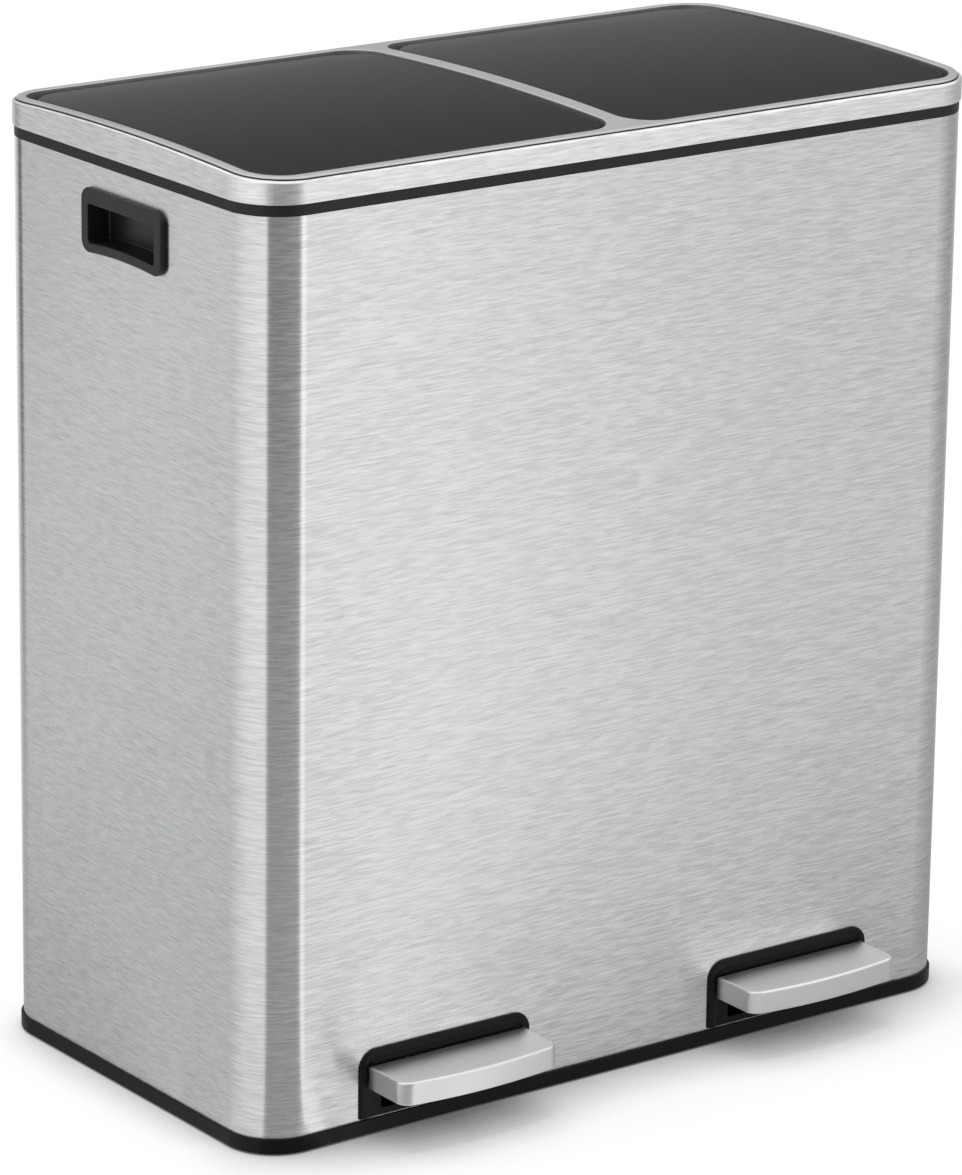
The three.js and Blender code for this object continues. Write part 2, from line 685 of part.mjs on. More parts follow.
/** A lid's knuckle, which turns on a hinge pin. */
function makeKnuckle() {
  const half = KNUCKLE_WIDTH / 2;
  const front = hingeY - KNUCKLE_RADIUS;
  const rear = hingeY + KNUCKLE_RADIUS;
  return box(-half, half, front, rear, hingeZ, lidUnderside + LID_PANEL / 2)
    .add(bar('x', KNUCKLE_RADIUS, -half, half, hingeY, hingeZ))
    .subtract(bar('x', HINGE_PIN_RADIUS + GAP, -half - 1, half + 1, hingeY, hingeZ));
}

/** Outline of a lid drawn in by an amount: its rear corners are rounder, to turn in the opening. */
function lidOutline(inset) {
  const halfWidth = lidWidth / 2 - inset;
  const halfDepth = lidDepth / 2 - inset;
  const frontCorner = LID_CORNER - inset;
  const rearCorner = LID_REAR_CORNER - inset;
  return cornerOutline(-halfWidth, halfWidth, -halfDepth, halfDepth, frontCorner, rearCorner);
}

/** One lid: flat panel with rounded edge, rim turned down on three sides, knuckles at the back. */
function makeLid() {
  const inner = lidOutline(LID_RIM_WALL);
  const rimStop = hingeY - RIM_STOP;
  const knuckles = repeatAlongX(makeKnuckle(), [-HINGE_SPREAD / 2, HINGE_SPREAD / 2]);
  return crownedPrism(lidOutline(0), lidRimBottom, lidTop, LID_EDGE, 3)
    .subtract(extrude('z', inner, lidRimBottom - 1, lidUnderside))
    .subtract(box(-lidWidth, lidWidth, rimStop, lidDepth, lidRimBottom - 1, lidUnderside))
    .add(knuckles);
}

/** One hinge pin, centred on its own place along x. */
function makeHingePin() {
  const halfLength = KNUCKLE_WIDTH / 2 + RUNNING_GAP + EAR_WIDTH + GAP;
  return headedPin(HINGE_PIN_RADIUS, PIN_HEAD_RADIUS, PIN_HEAD, halfLength, hingeY, hingeZ);
}

/** One rubber buffer on the deck, which a lid's front rim comes down on. */
function makeBuffer() {
  const y = -lidDepth / 2 + BUFFER_RADIUS - BUFFER_PROUD;
  return bar('z', BUFFER_RADIUS, collarTop + GAP, lidRimBottom - GAP, 0, y);
}

/** The crank under a lid: flange, web and the pin that its roller turns on. */
function makeCrank() {
  const flangeTop = lidUnderside - GAP;
  const flangeBottom = flangeTop - CRANK_PLATE;
  const flangeRear = hingeY - CRANK_FLANGE_SETBACK;
  const flangeFront = flangeRear - CRANK_FLANGE_LENGTH;
  const half = CRANK_FLANGE_WIDTH / 2;
  const flange = box(-half, half, flangeFront, flangeRear, flangeBottom, flangeTop);
  const plateInside = crankPlateOutside + CRANK_PLATE;
  const web = polygon([
    [flangeFront, flangeTop],
    [rollerY - CRANK_END_RADIUS, rollerZ],
    [rollerY + CRANK_END_RADIUS, rollerZ],
    [flangeRear, flangeTop],
  ]);
  const pinEnd = ROLLER_WIDTH / 2 + RUNNING_GAP;
  return flange
    .add(extrude('x', web, crankPlateOutside, plateInside))
    .add(bar('x', CRANK_END_RADIUS, crankPlateOutside, plateInside, rollerY, rollerZ))
    .add(bar('x', CRANK_PIN_RADIUS, crankPlateOutside, pinEnd, rollerY, rollerZ));
}

/** The roller on a crank's pin. */
function makeRoller() {
  const half = ROLLER_WIDTH / 2;
  return bar('x', ROLLER_RADIUS, -half, half, rollerY, rollerZ)
    .subtract(bar('x', CRANK_PIN_RADIUS + GAP, -half - 1, half + 1, rollerY, rollerZ));
}

// ---------------------------------------------------------------------------------------------
// Push rod and damper
// ---------------------------------------------------------------------------------------------

/** One push rod, from the lever's rear end to its cap. */
function makePushRod() {
  return bar('z', ROD_RADIUS, rodBottom, rodTop, 0, rodY);
}

/** The cap that a push rod carries, with a blind bore for the rod. */
function makeRodCap() {
  const half = CAP_WIDTH / 2;
  const halfLength = CAP_LENGTH / 2;
  return box(-half, half, rodY - halfLength, rodY + halfLength, capTop - CAP_HEIGHT, capTop)
    .subtract(bar('z', ROD_RADIUS + GAP, capTop - CAP_HEIGHT - 1, capTop - CAP_ROOF, 0, rodY));
}

/** A guide on the casing's back that a push rod slides through, at a height. */
function makeRodGuide(bottom) {
  const half = GUIDE_WIDTH / 2;
  const front = rodY - ROD_RADIUS - GUIDE_FRONT_WALL;
  return box(-half, half, front, shellRearInside - GAP, bottom, bottom + GUIDE_HEIGHT)
    .subtract(bar('z', ROD_RADIUS + GAP, bottom - 1, bottom + GUIDE_HEIGHT + 1, 0, rodY));
}

/** Height of the damper's lower end above the floor. */
function damperBottom() {
  return floorTop + DAMPER_RISE;
}

/** Place of the damper's axis in y, just off the casing's back. */
function damperY() {
  return shellRearInside - DAMPER_REAR_GAP - DAMPER_RADIUS;
}

/** The damper's cylinder, closed but for the piston's hole, with its foot on the casing's back. */
function makeDamperCylinder() {
  const hole = PISTON_RADIUS + GAP;
  const profile = [
    [0, 0],
    [DAMPER_RADIUS, 0],
    [DAMPER_RADIUS, DAMPER_LENGTH],
    [hole, DAMPER_LENGTH],
    [hole, DAMPER_LENGTH - DAMPER_END_WALL],
    [DAMPER_BORE, DAMPER_LENGTH - DAMPER_END_WALL],
    [DAMPER_BORE, DAMPER_END_WALL],
    [0, DAMPER_END_WALL],
  ].map(([radius, height]) => new THREE.Vector2(radius, height));
  const turned = new THREE.LatheGeometry(profile, 2 * PIN_ARC_STEPS);
  turned.rotateX(Math.PI / 2);
  turned.translate(0, damperY(), damperBottom());
  const half = DAMPER_FOOT_WIDTH / 2;
  const footFront = damperY() + (DAMPER_RADIUS + DAMPER_BORE) / 2;
  const top = damperBottom() + DAMPER_LENGTH;
  const foot = box(-half, half, footFront, shellRearInside - GAP, damperBottom(), top);
  return toSolid(turned).add(foot);
}

/** The damper's piston, its rod and the arm that clamps it to the push rod. */
function makeDamperPiston(side) {
  const headBottom = damperBottom() + DAMPER_END_WALL + PISTON_TRAVEL_BELOW;
  const headTop = headBottom + PISTON_HEAD_HEIGHT;
  const armBottom = damperBottom() + DAMPER_LENGTH + PISTON_REACH;
  const rodX = -side * DAMPER_OFFSET;
  const left = Math.min(0, rodX) - ROD_RADIUS - DAMPER_ARM_MARGIN;
  const right = Math.max(0, rodX) + ROD_RADIUS + DAMPER_ARM_MARGIN;
  const front = rodY - ROD_RADIUS - DAMPER_ARM_MARGIN;
  const rear = damperY() + PISTON_RADIUS + DAMPER_ARM_MARGIN;
  return bar('z', DAMPER_BORE - GAP, headBottom, headTop, 0, damperY())
    .add(bar('z', PISTON_RADIUS, headBottom, armBottom + DAMPER_ARM, 0, damperY()))
    .add(box(left, right, front, rear, armBottom, armBottom + DAMPER_ARM))
    .subtract(bar('z', ROD_RADIUS + GAP, armBottom - 1, armBottom + DAMPER_ARM + 1, rodX, rodY));
}

// ---------------------------------------------------------------------------------------------
// Pedal and lever
// ---------------------------------------------------------------------------------------------

/** Outline, in x and y, of a pedal: straight back, rounded front corners and a bowed front. */
function pedalOutline(inset) {
  const half = PEDAL_WIDTH / 2 - inset;
  const rear = pedalRear - inset;
  const front = pedalRear - PEDAL_REACH + inset;
  const radius = Math.max(PEDAL_CORNER - inset, 1);
  const shape = new THREE.Shape();
  shape.moveTo(half, rear);
  shape.lineTo(-half, rear);
  shape.lineTo(-half, front + radius);
  shape.absarc(-half + radius, front + radius, radius, Math.PI, 1.5 * Math.PI, false);
  shape.quadraticCurveTo(0, front - 2 * PEDAL_BOW, half - radius, front);
  shape.absarc(half - radius, front + radius, radius, 1.5 * Math.PI, 2 * Math.PI, false);
  return shape;
}

/** One pedal: hollow below, with a socket for the lever's tongue in its middle. */
function makePedal() {
  const crowned = crownedPrism(pedalOutline(0), pedalBottom, pedalTop, PEDAL_EDGE, 2, TRIM_ARC_STEPS);
  const inside = pedalOutline(PEDAL_WALL);
  const hollow = extrude('z', inside, pedalBottom - 1, pedalTop - PEDAL_ROOF, TRIM_ARC_STEPS);
  const socketHalf = LEVER_WIDTH / 2 + GAP;
  const blockHalf = socketHalf + PEDAL_SOCKET_WALL;
  const socketFront = tongueFront - GAP;
  const blockFront = socketFront - PEDAL_SOCKET_WALL;
  const block = box(-blockHalf, blockHalf, blockFront, pedalRear, pedalBottom, pedalTop - PEDAL_EDGE);
  const socket = box(
    -socketHalf,
    socketHalf,
    socketFront,
    pedalRear + 1,
    tongueBottom - GAP,
    tongueTop + GAP,
  );
  return crowned.subtract(hollow).add(block).subtract(socket);
}

/** The lever's side outline in y and z, let down by an amount. */
function leverOutline(drop) {
  const bend = pedalRear + LEVER_TONGUE_SETBACK;
  const half = LEVER_HEIGHT / 2;
  return polygon([
    [tongueFront, tongueTop - drop],
    [tongueFront, tongueBottom - drop],
    [bend, tongueBottom - drop],
    [pivotY, pivotZ - half - drop],
    [leverRear, leverRearTop - LEVER_HEIGHT - drop],
    [leverRear, leverRearTop - drop],
    [pivotY, pivotZ + half - drop],
    [bend, tongueTop - drop],
  ]);
}

/** One pedal lever: a channel, open below, with a boss for the pivot pin. */
function makeLever() {
  const half = LEVER_WIDTH / 2;
  const inside = half - LEVER_SHEET;
  const channel = extrude('x', leverOutline(0), -half, half)
    .subtract(extrude('x', leverOutline(LEVER_SHEET), -inside, inside));
  return channel
    .add(bar('x', LEVER_BOSS_RADIUS, -half, half, pivotY, pivotZ))
    .subtract(bar('x', PIVOT_PIN_RADIUS + GAP, -half - 1, half + 1, pivotY, pivotZ));
}

/** Distance from the lever's middle to a bracket screw. */
function screwPlace() {
  return LEVER_WIDTH / 2 + RUNNING_GAP + BRACKET_SHEET + BRACKET_FLANGE / 2;
}

/** The bracket on the base that holds a lever's pivot pin: plate, two ears and two flanges. */
function makeBracket() {
  const earInside = LEVER_WIDTH / 2 + RUNNING_GAP;
  const earOutside = earInside + BRACKET_SHEET;
  const half = BRACKET_LENGTH / 2;
  const plateHalf = earOutside + BRACKET_FLANGE;
  const bottom = floorTop + GAP;
  const plateTop = bottom + BRACKET_SHEET;
  const ear = box(
    earInside,
    earOutside,
    pivotY - BRACKET_EAR_RADIUS,
    pivotY + BRACKET_EAR_RADIUS,
    bottom,
    pivotZ,
  ).add(bar('x', BRACKET_EAR_RADIUS, earInside, earOutside, pivotY, pivotZ));
  const hole = bar('z', SCREW_RADIUS + GAP, bottom - 1, plateTop + 1, 0, pivotY);
  return box(-plateHalf, plateHalf, pivotY - half, pivotY + half, bottom, plateTop)
    .add(repeatAlongX(ear, [0, -earInside - earOutside]))
    .subtract(bar('x', PIVOT_PIN_RADIUS + GAP, -plateHalf, plateHalf, pivotY, pivotZ))
    .subtract(repeatAlongX(hole, [-screwPlace(), screwPlace()]));
}

/** The pin that a lever turns on. */
function makePivotPin() {
  const halfLength = LEVER_WIDTH / 2 + RUNNING_GAP + BRACKET_SHEET + GAP;
  return headedPin(PIVOT_PIN_RADIUS, PIVOT_HEAD_RADIUS, PIVOT_HEAD, halfLength, pivotY, pivotZ);
}

/** A screw through a bracket's flange into the base. */
function makeScrew() {
  const seat = floorTop + GAP + BRACKET_SHEET + GAP;
  return bar('z', SCREW_RADIUS, seat - SCREW_LENGTH, seat + SCREW_HEAD / 2, 0, pivotY)
    .add(bar('z', SCREW_HEAD_RADIUS, seat, seat + SCREW_HEAD, 0, pivotY));
}

// ---------------------------------------------------------------------------------------------
// Assembly
// ---------------------------------------------------------------------------------------------

/** Adds what the two sides share. */
function addHousing(bin) {
  piece(bin, 'base_tray', makeBaseTray(), FINISHES.blackPlastic);
  piece(bin, 'outer_shell', makeShell(), FINISHES.brushedSteel);
  piece(bin, 'top_collar', makeCollar(), FINISHES.blackPlastic);
  piece(bin, 'lid_frame', makeLidFrame(), FINISHES.satinSilver);
  const footX = SHELL_WIDTH / 2 - FOOT_INSET;
  const footY = SHELL_DEPTH / 2 - FOOT_INSET;
  piece(bin, 'front_left_foot', makeFoot(-footX, -footY), FINISHES.blackRubber);
  piece(bin, 'front_right_foot', makeFoot(footX, -footY), FINISHES.blackRubber);
  piece(bin, 'rear_left_foot', makeFoot(-footX, footY), FINISHES.blackRubber);
  piece(bin, 'rear_right_foot', makeFoot(footX, footY), FINISHES.blackRubber);
  piece(bin, 'left_handle', makeHandle(), FINISHES.blackPlastic);
  piece(bin, 'right_handle', makeHandle().mirror([1, 0, 0]), FINISHES.blackPlastic);
}

/** Adds a lid with its pins, buffers, crank and roller to its side's group. */
function addLid(group, name, side) {
  piece(group, `${name}_lid`, makeLid(), FINISHES.blackLid);
  const places = { outer: side, inner: -side };
  for (const [place, direction] of Object.entries(places)) {
    const pin = piece(group, `${name}_${place}_hinge_pin`, makeHingePin(), FINISHES.plainSteel);
    pin.position.x = (direction * HINGE_SPREAD) / 2;
    const buffer = piece(group, `${name}_${place}_buffer`, makeBuffer(), FINISHES.blackRubber);
    buffer.position.x = direction * (lidWidth / 2 - BUFFER_INSET);
  }
  const crank = side < 0 ? makeCrank() : makeCrank().mirror([1, 0, 0]);
  piece(group, `${name}_crank`, crank, FINISHES.plainSteel);
  piece(group, `${name}_crank_roller`, makeRoller(), FINISHES.whiteNylon);
}

/** Adds the push rod, its cap and guides, and the damper beside it. */
function addRod(group, name, side) {
  piece(group, `${name}_push_rod`, makePushRod(), FINISHES.plainSteel);
  piece(group, `${name}_rod_cap`, makeRodCap(), FINISHES.whiteNylon);
  const lowerGuide = makeRodGuide(floorTop + LOWER_GUIDE_RISE);
  const upperGuide = makeRodGuide(shellTop - UPPER_GUIDE_DROP);
  piece(group, `${name}_lower_rod_guide`, lowerGuide, FINISHES.blackPlastic);
  piece(group, `${name}_upper_rod_guide`, upperGuide, FINISHES.blackPlastic);
  const cylinder = piece(group, `${name}_damper_cylinder`, makeDamperCylinder(), FINISHES.blackPlastic);
  cylinder.position.x = side * DAMPER_OFFSET;
  const piston = piece(group, `${name}_damper_piston`, makeDamperPiston(side), FINISHES.plainSteel);
  piston.position.x = side * DAMPER_OFFSET;
}

/** Adds the pedal, its lever and pivot, and the surround that they pass through. */
function addPedal(group, name, side) {
  piece(group, `${name}_pedal_surround`, makeSurround(), FINISHES.blackPlastic);
  piece(group, `${name}_pedal`, makePedal(), FINISHES.satinSilver);
  piece(group, `${name}_pedal_lever`, makeLever(), FINISHES.plainSteel);
  piece(group, `${name}_pivot_pin`, makePivotPin(), FINISHES.plainSteel);
  piece(group, `${name}_pivot_bracket`, makeBracket(), FINISHES.plainSteel);
  const places = { outer: side, inner: -side };
  for (const [place, direction] of Object.entries(places)) {
    const screw = piece(group, `${name}_${place}_bracket_screw`, makeScrew(), FINISHES.plainSteel);
    screw.position.x = direction * screwPlace();
  }
}

const bin = new THREE.Group();
bin.position.y = footprintShift;
addHousing(bin);
for (const [name, side] of Object.entries({ left: -1, right: 1 })) {
  const group = new THREE.Group();
  group.position.x = side * sideCentre;
  piece(group, `${name}_bucket`, makeBucket(), FINISHES.greyBucket);
  addLid(group, name, side);
  addRod(group, name, side);
  addPedal(group, name, side);
  bin.add(group);
}

const doubleBin = new THREE.Group();
doubleBin.add(bin);

export default doubleBin;
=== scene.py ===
"""Looks of the double pedal bin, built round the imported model.

Sizes are in millimetres in the casing's own frame: x = y = 0 in the casing's middle, z = 0 on the
floor, the front with the pedals faces -Y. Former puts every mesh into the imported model's frame.
"""

from __future__ import annotations

import logging
import math
from dataclasses import dataclass, field, replace
from enum import Enum
from typing import Any, Callable, Iterable, Sequence

import bmesh
import bpy
from mathutils import Matrix, Vector

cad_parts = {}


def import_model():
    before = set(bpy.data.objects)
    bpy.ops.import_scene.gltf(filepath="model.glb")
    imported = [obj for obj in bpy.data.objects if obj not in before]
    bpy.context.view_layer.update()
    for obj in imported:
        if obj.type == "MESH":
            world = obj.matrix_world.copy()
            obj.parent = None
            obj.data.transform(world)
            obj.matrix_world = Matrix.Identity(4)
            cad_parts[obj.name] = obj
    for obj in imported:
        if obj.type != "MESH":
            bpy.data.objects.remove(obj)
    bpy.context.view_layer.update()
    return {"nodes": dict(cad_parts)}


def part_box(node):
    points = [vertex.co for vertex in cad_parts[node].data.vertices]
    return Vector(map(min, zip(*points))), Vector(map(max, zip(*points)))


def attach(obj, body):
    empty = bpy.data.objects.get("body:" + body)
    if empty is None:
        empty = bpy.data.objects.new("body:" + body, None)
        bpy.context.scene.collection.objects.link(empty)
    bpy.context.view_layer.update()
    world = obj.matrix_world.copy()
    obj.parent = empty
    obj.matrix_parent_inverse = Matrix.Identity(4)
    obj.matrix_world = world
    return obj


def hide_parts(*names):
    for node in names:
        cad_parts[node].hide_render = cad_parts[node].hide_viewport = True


LOG = logging.getLogger("double_pedal_bin")

MM = 0.001  # metres in a millimetre
SPREAD = 400.0  # reach of a cutting tool that only has to pass the whole bin, mm
SQUARE = 0.02  # radius of a corner that is left square, mm
GAP = 0.3  # clearance between pieces that touch, mm
MERGE = 1e-4  # points nearer to each other than this are one, mm

Point = tuple[float, float]
Corner = tuple[float, float, float]
Loop = list[bmesh.types.BMVert]
Tree = bpy.types.NodeTree
Node = bpy.types.Node
Source = bpy.types.Node | bpy.types.NodeSocket
Material = bpy.types.Material


class Plane(Enum):
    """The plane that an outline lies in; its height runs along the third axis."""

    LEVEL = "level"
    FRONT = "front"
    SIDE = "side"

    def place(self, u: float, v: float, height: float) -> Vector:
        """Places a point of an outline in the casing's frame.

        Args:
            u: the outline's u, mm.
            v: the outline's v, mm.
            height: the height over the plane, mm.

        Returns:
            The point in the casing's frame, mm.
        """
        if self is Plane.LEVEL:
            return Vector((u, v, height))
        return Vector((u, height, v)) if self is Plane.FRONT else Vector((height, u, v))


class Side(Enum):
    """The bin's two halves."""

    LEFT = -1
    RIGHT = 1

    @property
    def word(self) -> str:
        """Returns the half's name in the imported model."""
        return self.name.lower()


class Operation(Enum):
    """What a tool does to the piece that it is used on."""

    CUT = "DIFFERENCE"
    JOIN = "UNION"


# Outlines, sections and meshes


@dataclass(frozen=True)
class Outline:
    """A closed outline: a rectangle with round corners, whose lower side may bow out or arch in."""

    left: float
    right: float
    bottom: float
    top: float
    lower: float
    upper: float
    bow: float = 0.0
    steps: int = 14
    bow_steps: int = 24

    @classmethod
    def centred(
        cls, width: float, depth: float, radius: float, u: float = 0.0, v: float = 0.0, steps: int = 14
    ) -> Outline:
        """Returns a rectangle of one corner radius round a point.

        Args:
            width: size along u, mm.
            depth: size along v, mm.
            radius: corner radius, mm.
            u: middle along u, mm.
            v: middle along v, mm.
            steps: facets in a quarter turn.

        Returns:
            The outline.
        """
        half, deep = width / 2, depth / 2
        return cls(u - half, u + half, v - deep, v + deep, radius, radius, 0.0, steps)

    @classmethod
    def circle(cls, radius: float, u: float = 0.0, v: float = 0.0, steps: int = 10) -> Outline:
        """Returns a circle of a radius round u, v."""
        return cls.centred(2 * radius, 2 * radius, radius, u, v, steps)

    @classmethod
    def square(cls, left: float, right: float, bottom: float, top: float) -> Outline:
        """Returns a rectangle with square corners."""
        return cls(left, right, bottom, top, SQUARE, SQUARE)

    def grown(self, growth: float) -> Outline:
        """Grows the outline outwards.

        Args:
            growth: how far to grow, mm; a negative one draws it in.

        Returns:
            The new outline.
        """
        least = SQUARE / 2
        return replace(
            self,
            left=self.left - growth,
            right=self.right + growth,
            bottom=self.bottom - growth,
            top=self.top + growth,
            lower=max(self.lower + growth, least),
            upper=max(self.upper + growth, least),
        )

    def points(self) -> list[Point]:
        """Walks round the outline.

        Returns:
            The points, anticlockwise, as many for every growth.
        """
        low_left, low_right = self.left + self.lower, self.right - self.lower
        found: list[Point] = []
        spans = self.bow_steps if self.bow else 0
        for i in range(1, spans):
            t = i / spans
            bulge = 4 * self.bow * t * (1 - t)
            found.append((low_left + t * (low_right - low_left), self.bottom - bulge))
        corners = (
            (low_right, self.bottom + self.lower, self.lower, -0.5),
            (self.right - self.upper, self.top - self.upper, self.upper, 0.0),
            (self.left + self.upper, self.top - self.upper, self.upper, 0.5),
            (low_left, self.bottom + self.lower, self.lower, 1.0),
        )
        for u, v, radius, start in corners:
            for i in range(self.steps + 1):
                angle = math.pi * (start + 0.5 * i / self.steps)
                found.append((u + radius * math.cos(angle), v + radius * math.sin(angle)))
        return found


def eased(corners: Sequence[Corner], steps: int = 4) -> list[Point]:
    """Rounds a section's corners off.

    Args:
        corners: growth, height and corner radius of each corner, mm; the ends stay sharp.
        steps: facets in each rounding.

    Returns:
        The section's points, as growth and height.
    """
    found: list[Point] = []
    for i, (growth, height, radius) in enumerate(corners):
        here = Vector((growth, height))
        if radius <= 0 or i in (0, len(corners) - 1):
            found.append((growth, height))
            continue
        back = (Vector(corners[i - 1][:2]) - here).normalized()
        ahead = (Vector(corners[i + 1][:2]) - here).normalized()
        half = back.angle(ahead) / 2
        centre = here + (back + ahead).normalized() * (radius / math.sin(half))
        first = here + back * (radius / math.tan(half)) - centre
        last = here + ahead * (radius / math.tan(half)) - centre
        start = math.atan2(first.y, first.x)
        turn = math.remainder(math.atan2(last.y, last.x) - start, 2 * math.pi)
        for k in range(steps + 1):
            angle = start + turn * k / steps
            found.append((centre.x + radius * math.cos(angle), centre.y + radius * math.sin(angle)))
    return found


class Former:
    """Forms closed meshes from outlines and sections, in millimetres of the casing's frame."""

    shift = Vector((0.0, 0.0, 0.0))
    fullness = 0.98  # share of an eased edge that its rounding takes, so that its ends stay apart
    crown_reach = 150  # the arch's cuts run from front to back over this much on both sides of y = 0
    crown_pitch = 10

    def __init__(self, plane: Plane = Plane.LEVEL, middle: float = 0.0) -> None:
        """Starts an empty mesh.

        Args:
            plane: the plane of its outlines.
            middle: how far to move the mesh along x, mm.
        """
        self.bm = bmesh.new()
        self.plane = plane
        self.middle = middle

    def loop(self, outline: Outline, height: float) -> Loop:
        """Adds vertices along an outline at a height.

        Args:
            outline: the way round.
            height: the height over the plane, mm.

        Returns:
            The new vertices.
        """
        offset = Vector((self.middle, 0, 0))
        places = (self.plane.place(u, v, height) for u, v in outline.points())
        return [self.bm.verts.new(place + offset) for place in places]

    def wall(self, first: Loop, second: Loop, finish: int = 0) -> None:
        """Joins two loops of the same length with faces.

        Args:
            first: the one loop.
            second: the other one.
            finish: the faces' material slot.
        """
        count = len(first)
        for i in range(count):
            j = (i + 1) % count
            self.bm.faces.new((first[i], first[j], second[j], second[i])).material_index = finish

    def sweep(
        self, outline: Outline, section: Sequence[Point], finish: int = 0, closed: bool = False
    ) -> list[Loop]:
        """Carries a section round an outline.

        Args:
            outline: the way round.
            section: growth and height of each line of the wall, mm.
            finish: the faces' material slot.
            closed: whether the last line is joined to the first.

        Returns:
            The loops of vertices, one for each point of the section.
        """
        loops = [self.loop(outline.grown(growth), height) for growth, height in section]
        for first, second in zip(loops, loops[1:]):
            self.wall(first, second, finish)
        if closed:
            self.wall(loops[-1], loops[0], finish)
        return loops

    def cap(self, loop: Loop, holes: Iterable[Loop] = (), finish: int = 0) -> None:
        """Closes a loop with a flat face.

        Args:
            loop: the loop round it.
            holes: the loops round its holes.
            finish: the faces' material slot.
        """
        inner = list(holes)
        if not inner:
            self.bm.faces.new(loop).material_index = finish
            return
        edges = []
        for ring in [loop, *inner]:
            for a, b in zip(ring, [*ring[1:], ring[0]]):
                edges.append(self.bm.edges.get((a, b)) or self.bm.edges.new((a, b)))
        filled = bmesh.ops.triangle_fill(self.bm, edges=edges, use_beauty=True)
        for face in (g for g in filled["geom"] if isinstance(g, bmesh.types.BMFace)):
            face.material_index = finish

    def solid(self, outline: Outline, section: Sequence[Point]) -> Former:
        """Carries a section round an outline and caps both its ends.

        Args:
            outline: the way round.
            section: growth and height of each line of the wall, mm.

        Returns:
            The former itself.
        """
        loops = self.sweep(outline, section)
        self.cap(loops[0])
        self.cap(loops[-1])
        return self

    def block(self, outline: Outline, low: float, high: float, ease: float = 0.0) -> Former:
        """Pushes an outline from one height to another.

        Args:
            outline: the block's plan.
            low: the height of its one end, mm.
            high: the height of the other, mm.
            ease: how far its edges are rounded off, mm.

        Returns:
            The former itself.
        """
        if ease <= 0:
            return self.solid(outline, [(0, low), (0, high)])
        radius = ease * self.fullness
        corners = [(-ease, low, 0), (0, low, radius), (0, high, radius), (-ease, high, 0)]
        return self.solid(outline, eased(corners, 3))

    def crown(self, height: Callable[[float, float], float]) -> Former:
        """Arches the mesh from front to back.

        Args:
            height: gives how far a point at y and z rises, mm.

        Returns:
            The former.
        """
        for y in range(-self.crown_reach, self.crown_reach + 1, self.crown_pitch):
            geom = [*self.bm.verts, *self.bm.edges, *self.bm.faces]
            bmesh.ops.bisect_plane(
                self.bm, geom=geom, dist=MERGE, plane_co=(0, y, 0), plane_no=(0, 1, 0)
            )
        for vertex in self.bm.verts:
            vertex.co.z += height(vertex.co.y, vertex.co.z)
        return self

    def mirror(self) -> Former:
        """Turns the mesh over to the other side of x = 0 of the casing; returns the former."""
        bmesh.ops.scale(self.bm, vec=(-1, 1, 1), verts=self.bm.verts)
        return self

    def mesh(self, name: str) -> bpy.types.Mesh:
        """Closes the mesh and hands it over.

        Args:
            name: the mesh's name.

        Returns:
            The mesh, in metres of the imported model's frame.
        """
        bm = self.bm
        bmesh.ops.remove_doubles(bm, verts=bm.verts, dist=MERGE)
        bmesh.ops.dissolve_degenerate(bm, edges=bm.edges, dist=MERGE)
        to_frame = Matrix.Scale(MM, 4) @ Matrix.Translation(self.shift)
        bmesh.ops.transform(bm, matrix=to_frame, verts=bm.verts)
        bmesh.ops.recalc_face_normals(bm, faces=bm.faces)
        made = bpy.data.meshes.new(name)
        bm.to_mesh(made)
        bm.free()
        return made


def new_object(name: str, data: Any) -> bpy.types.Object:
    """Makes an object of a mesh, lamp or camera and links it to the scene.

    Args:
        name: the object's name.
        data: the mesh, lamp or camera.

    Returns:
        The object.
    """
    made = bpy.data.objects.new(name, data)
    bpy.context.scene.collection.objects.link(made)
    return made


def worked(name: str, base: Former, tools: Sequence[tuple[Operation, Former]]) -> bpy.types.Mesh:
    """Cuts and joins tools into a base.

    Args:
        name: the new mesh's name.
        base: the piece to start from.
        tools: each tool and what it does, in order.

    Returns:
        The mesh that they make.
    """
    body = new_object(name, base.mesh(name))
    spare = []
    for operation, tool in tools:
        cutter = new_object(name + "_tool", tool.mesh(name + "_tool"))
        spare.append(cutter)
        step = body.modifiers.new(operation.name, "BOOLEAN")
        step.operation, step.solver, step.object = operation.value, "EXACT", cutter
    bpy.context.view_layer.update()
    graph = bpy.context.evaluated_depsgraph_get()
    made = bpy.data.meshes.new_from_object(body.evaluated_get(graph))
    made.name = name
    for done in [body, *spare]:
        bpy.data.objects.remove(done)
    return made


def dress(
    name: str,
    mesh: bpy.types.Mesh,
    finishes: Sequence[Material],
    body: str,
    node: str,
    sharp: float = 34.0,
) -> bpy.types.Object:
    """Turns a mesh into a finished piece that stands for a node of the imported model.

    Args:
        name: the piece's name.
        mesh: its mesh.
        finishes: its materials, in the order of the faces' slots.
        body: the body that it rides on.
        node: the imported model's node that it stands for.
        sharp: the angle above which an edge shades sharp, degrees.

    Returns:
        The piece.
    """
    for finish in finishes:
        mesh.materials.append(finish)
    mesh.shade_smooth()
    mesh.set_sharp_from_angle(angle=math.radians(sharp))
    piece = new_object(name, mesh)
    weighted = piece.modifiers.new("even_faces", "WEIGHTED_NORMAL")
    weighted.keep_sharp = True
    weighted.weight = 90
    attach(piece, body)
    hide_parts(node)
    LOG.info("%s: %d faces, rides on %s, stands for %s", name, len(mesh.polygons), body, node)
    return piece


# Finishes


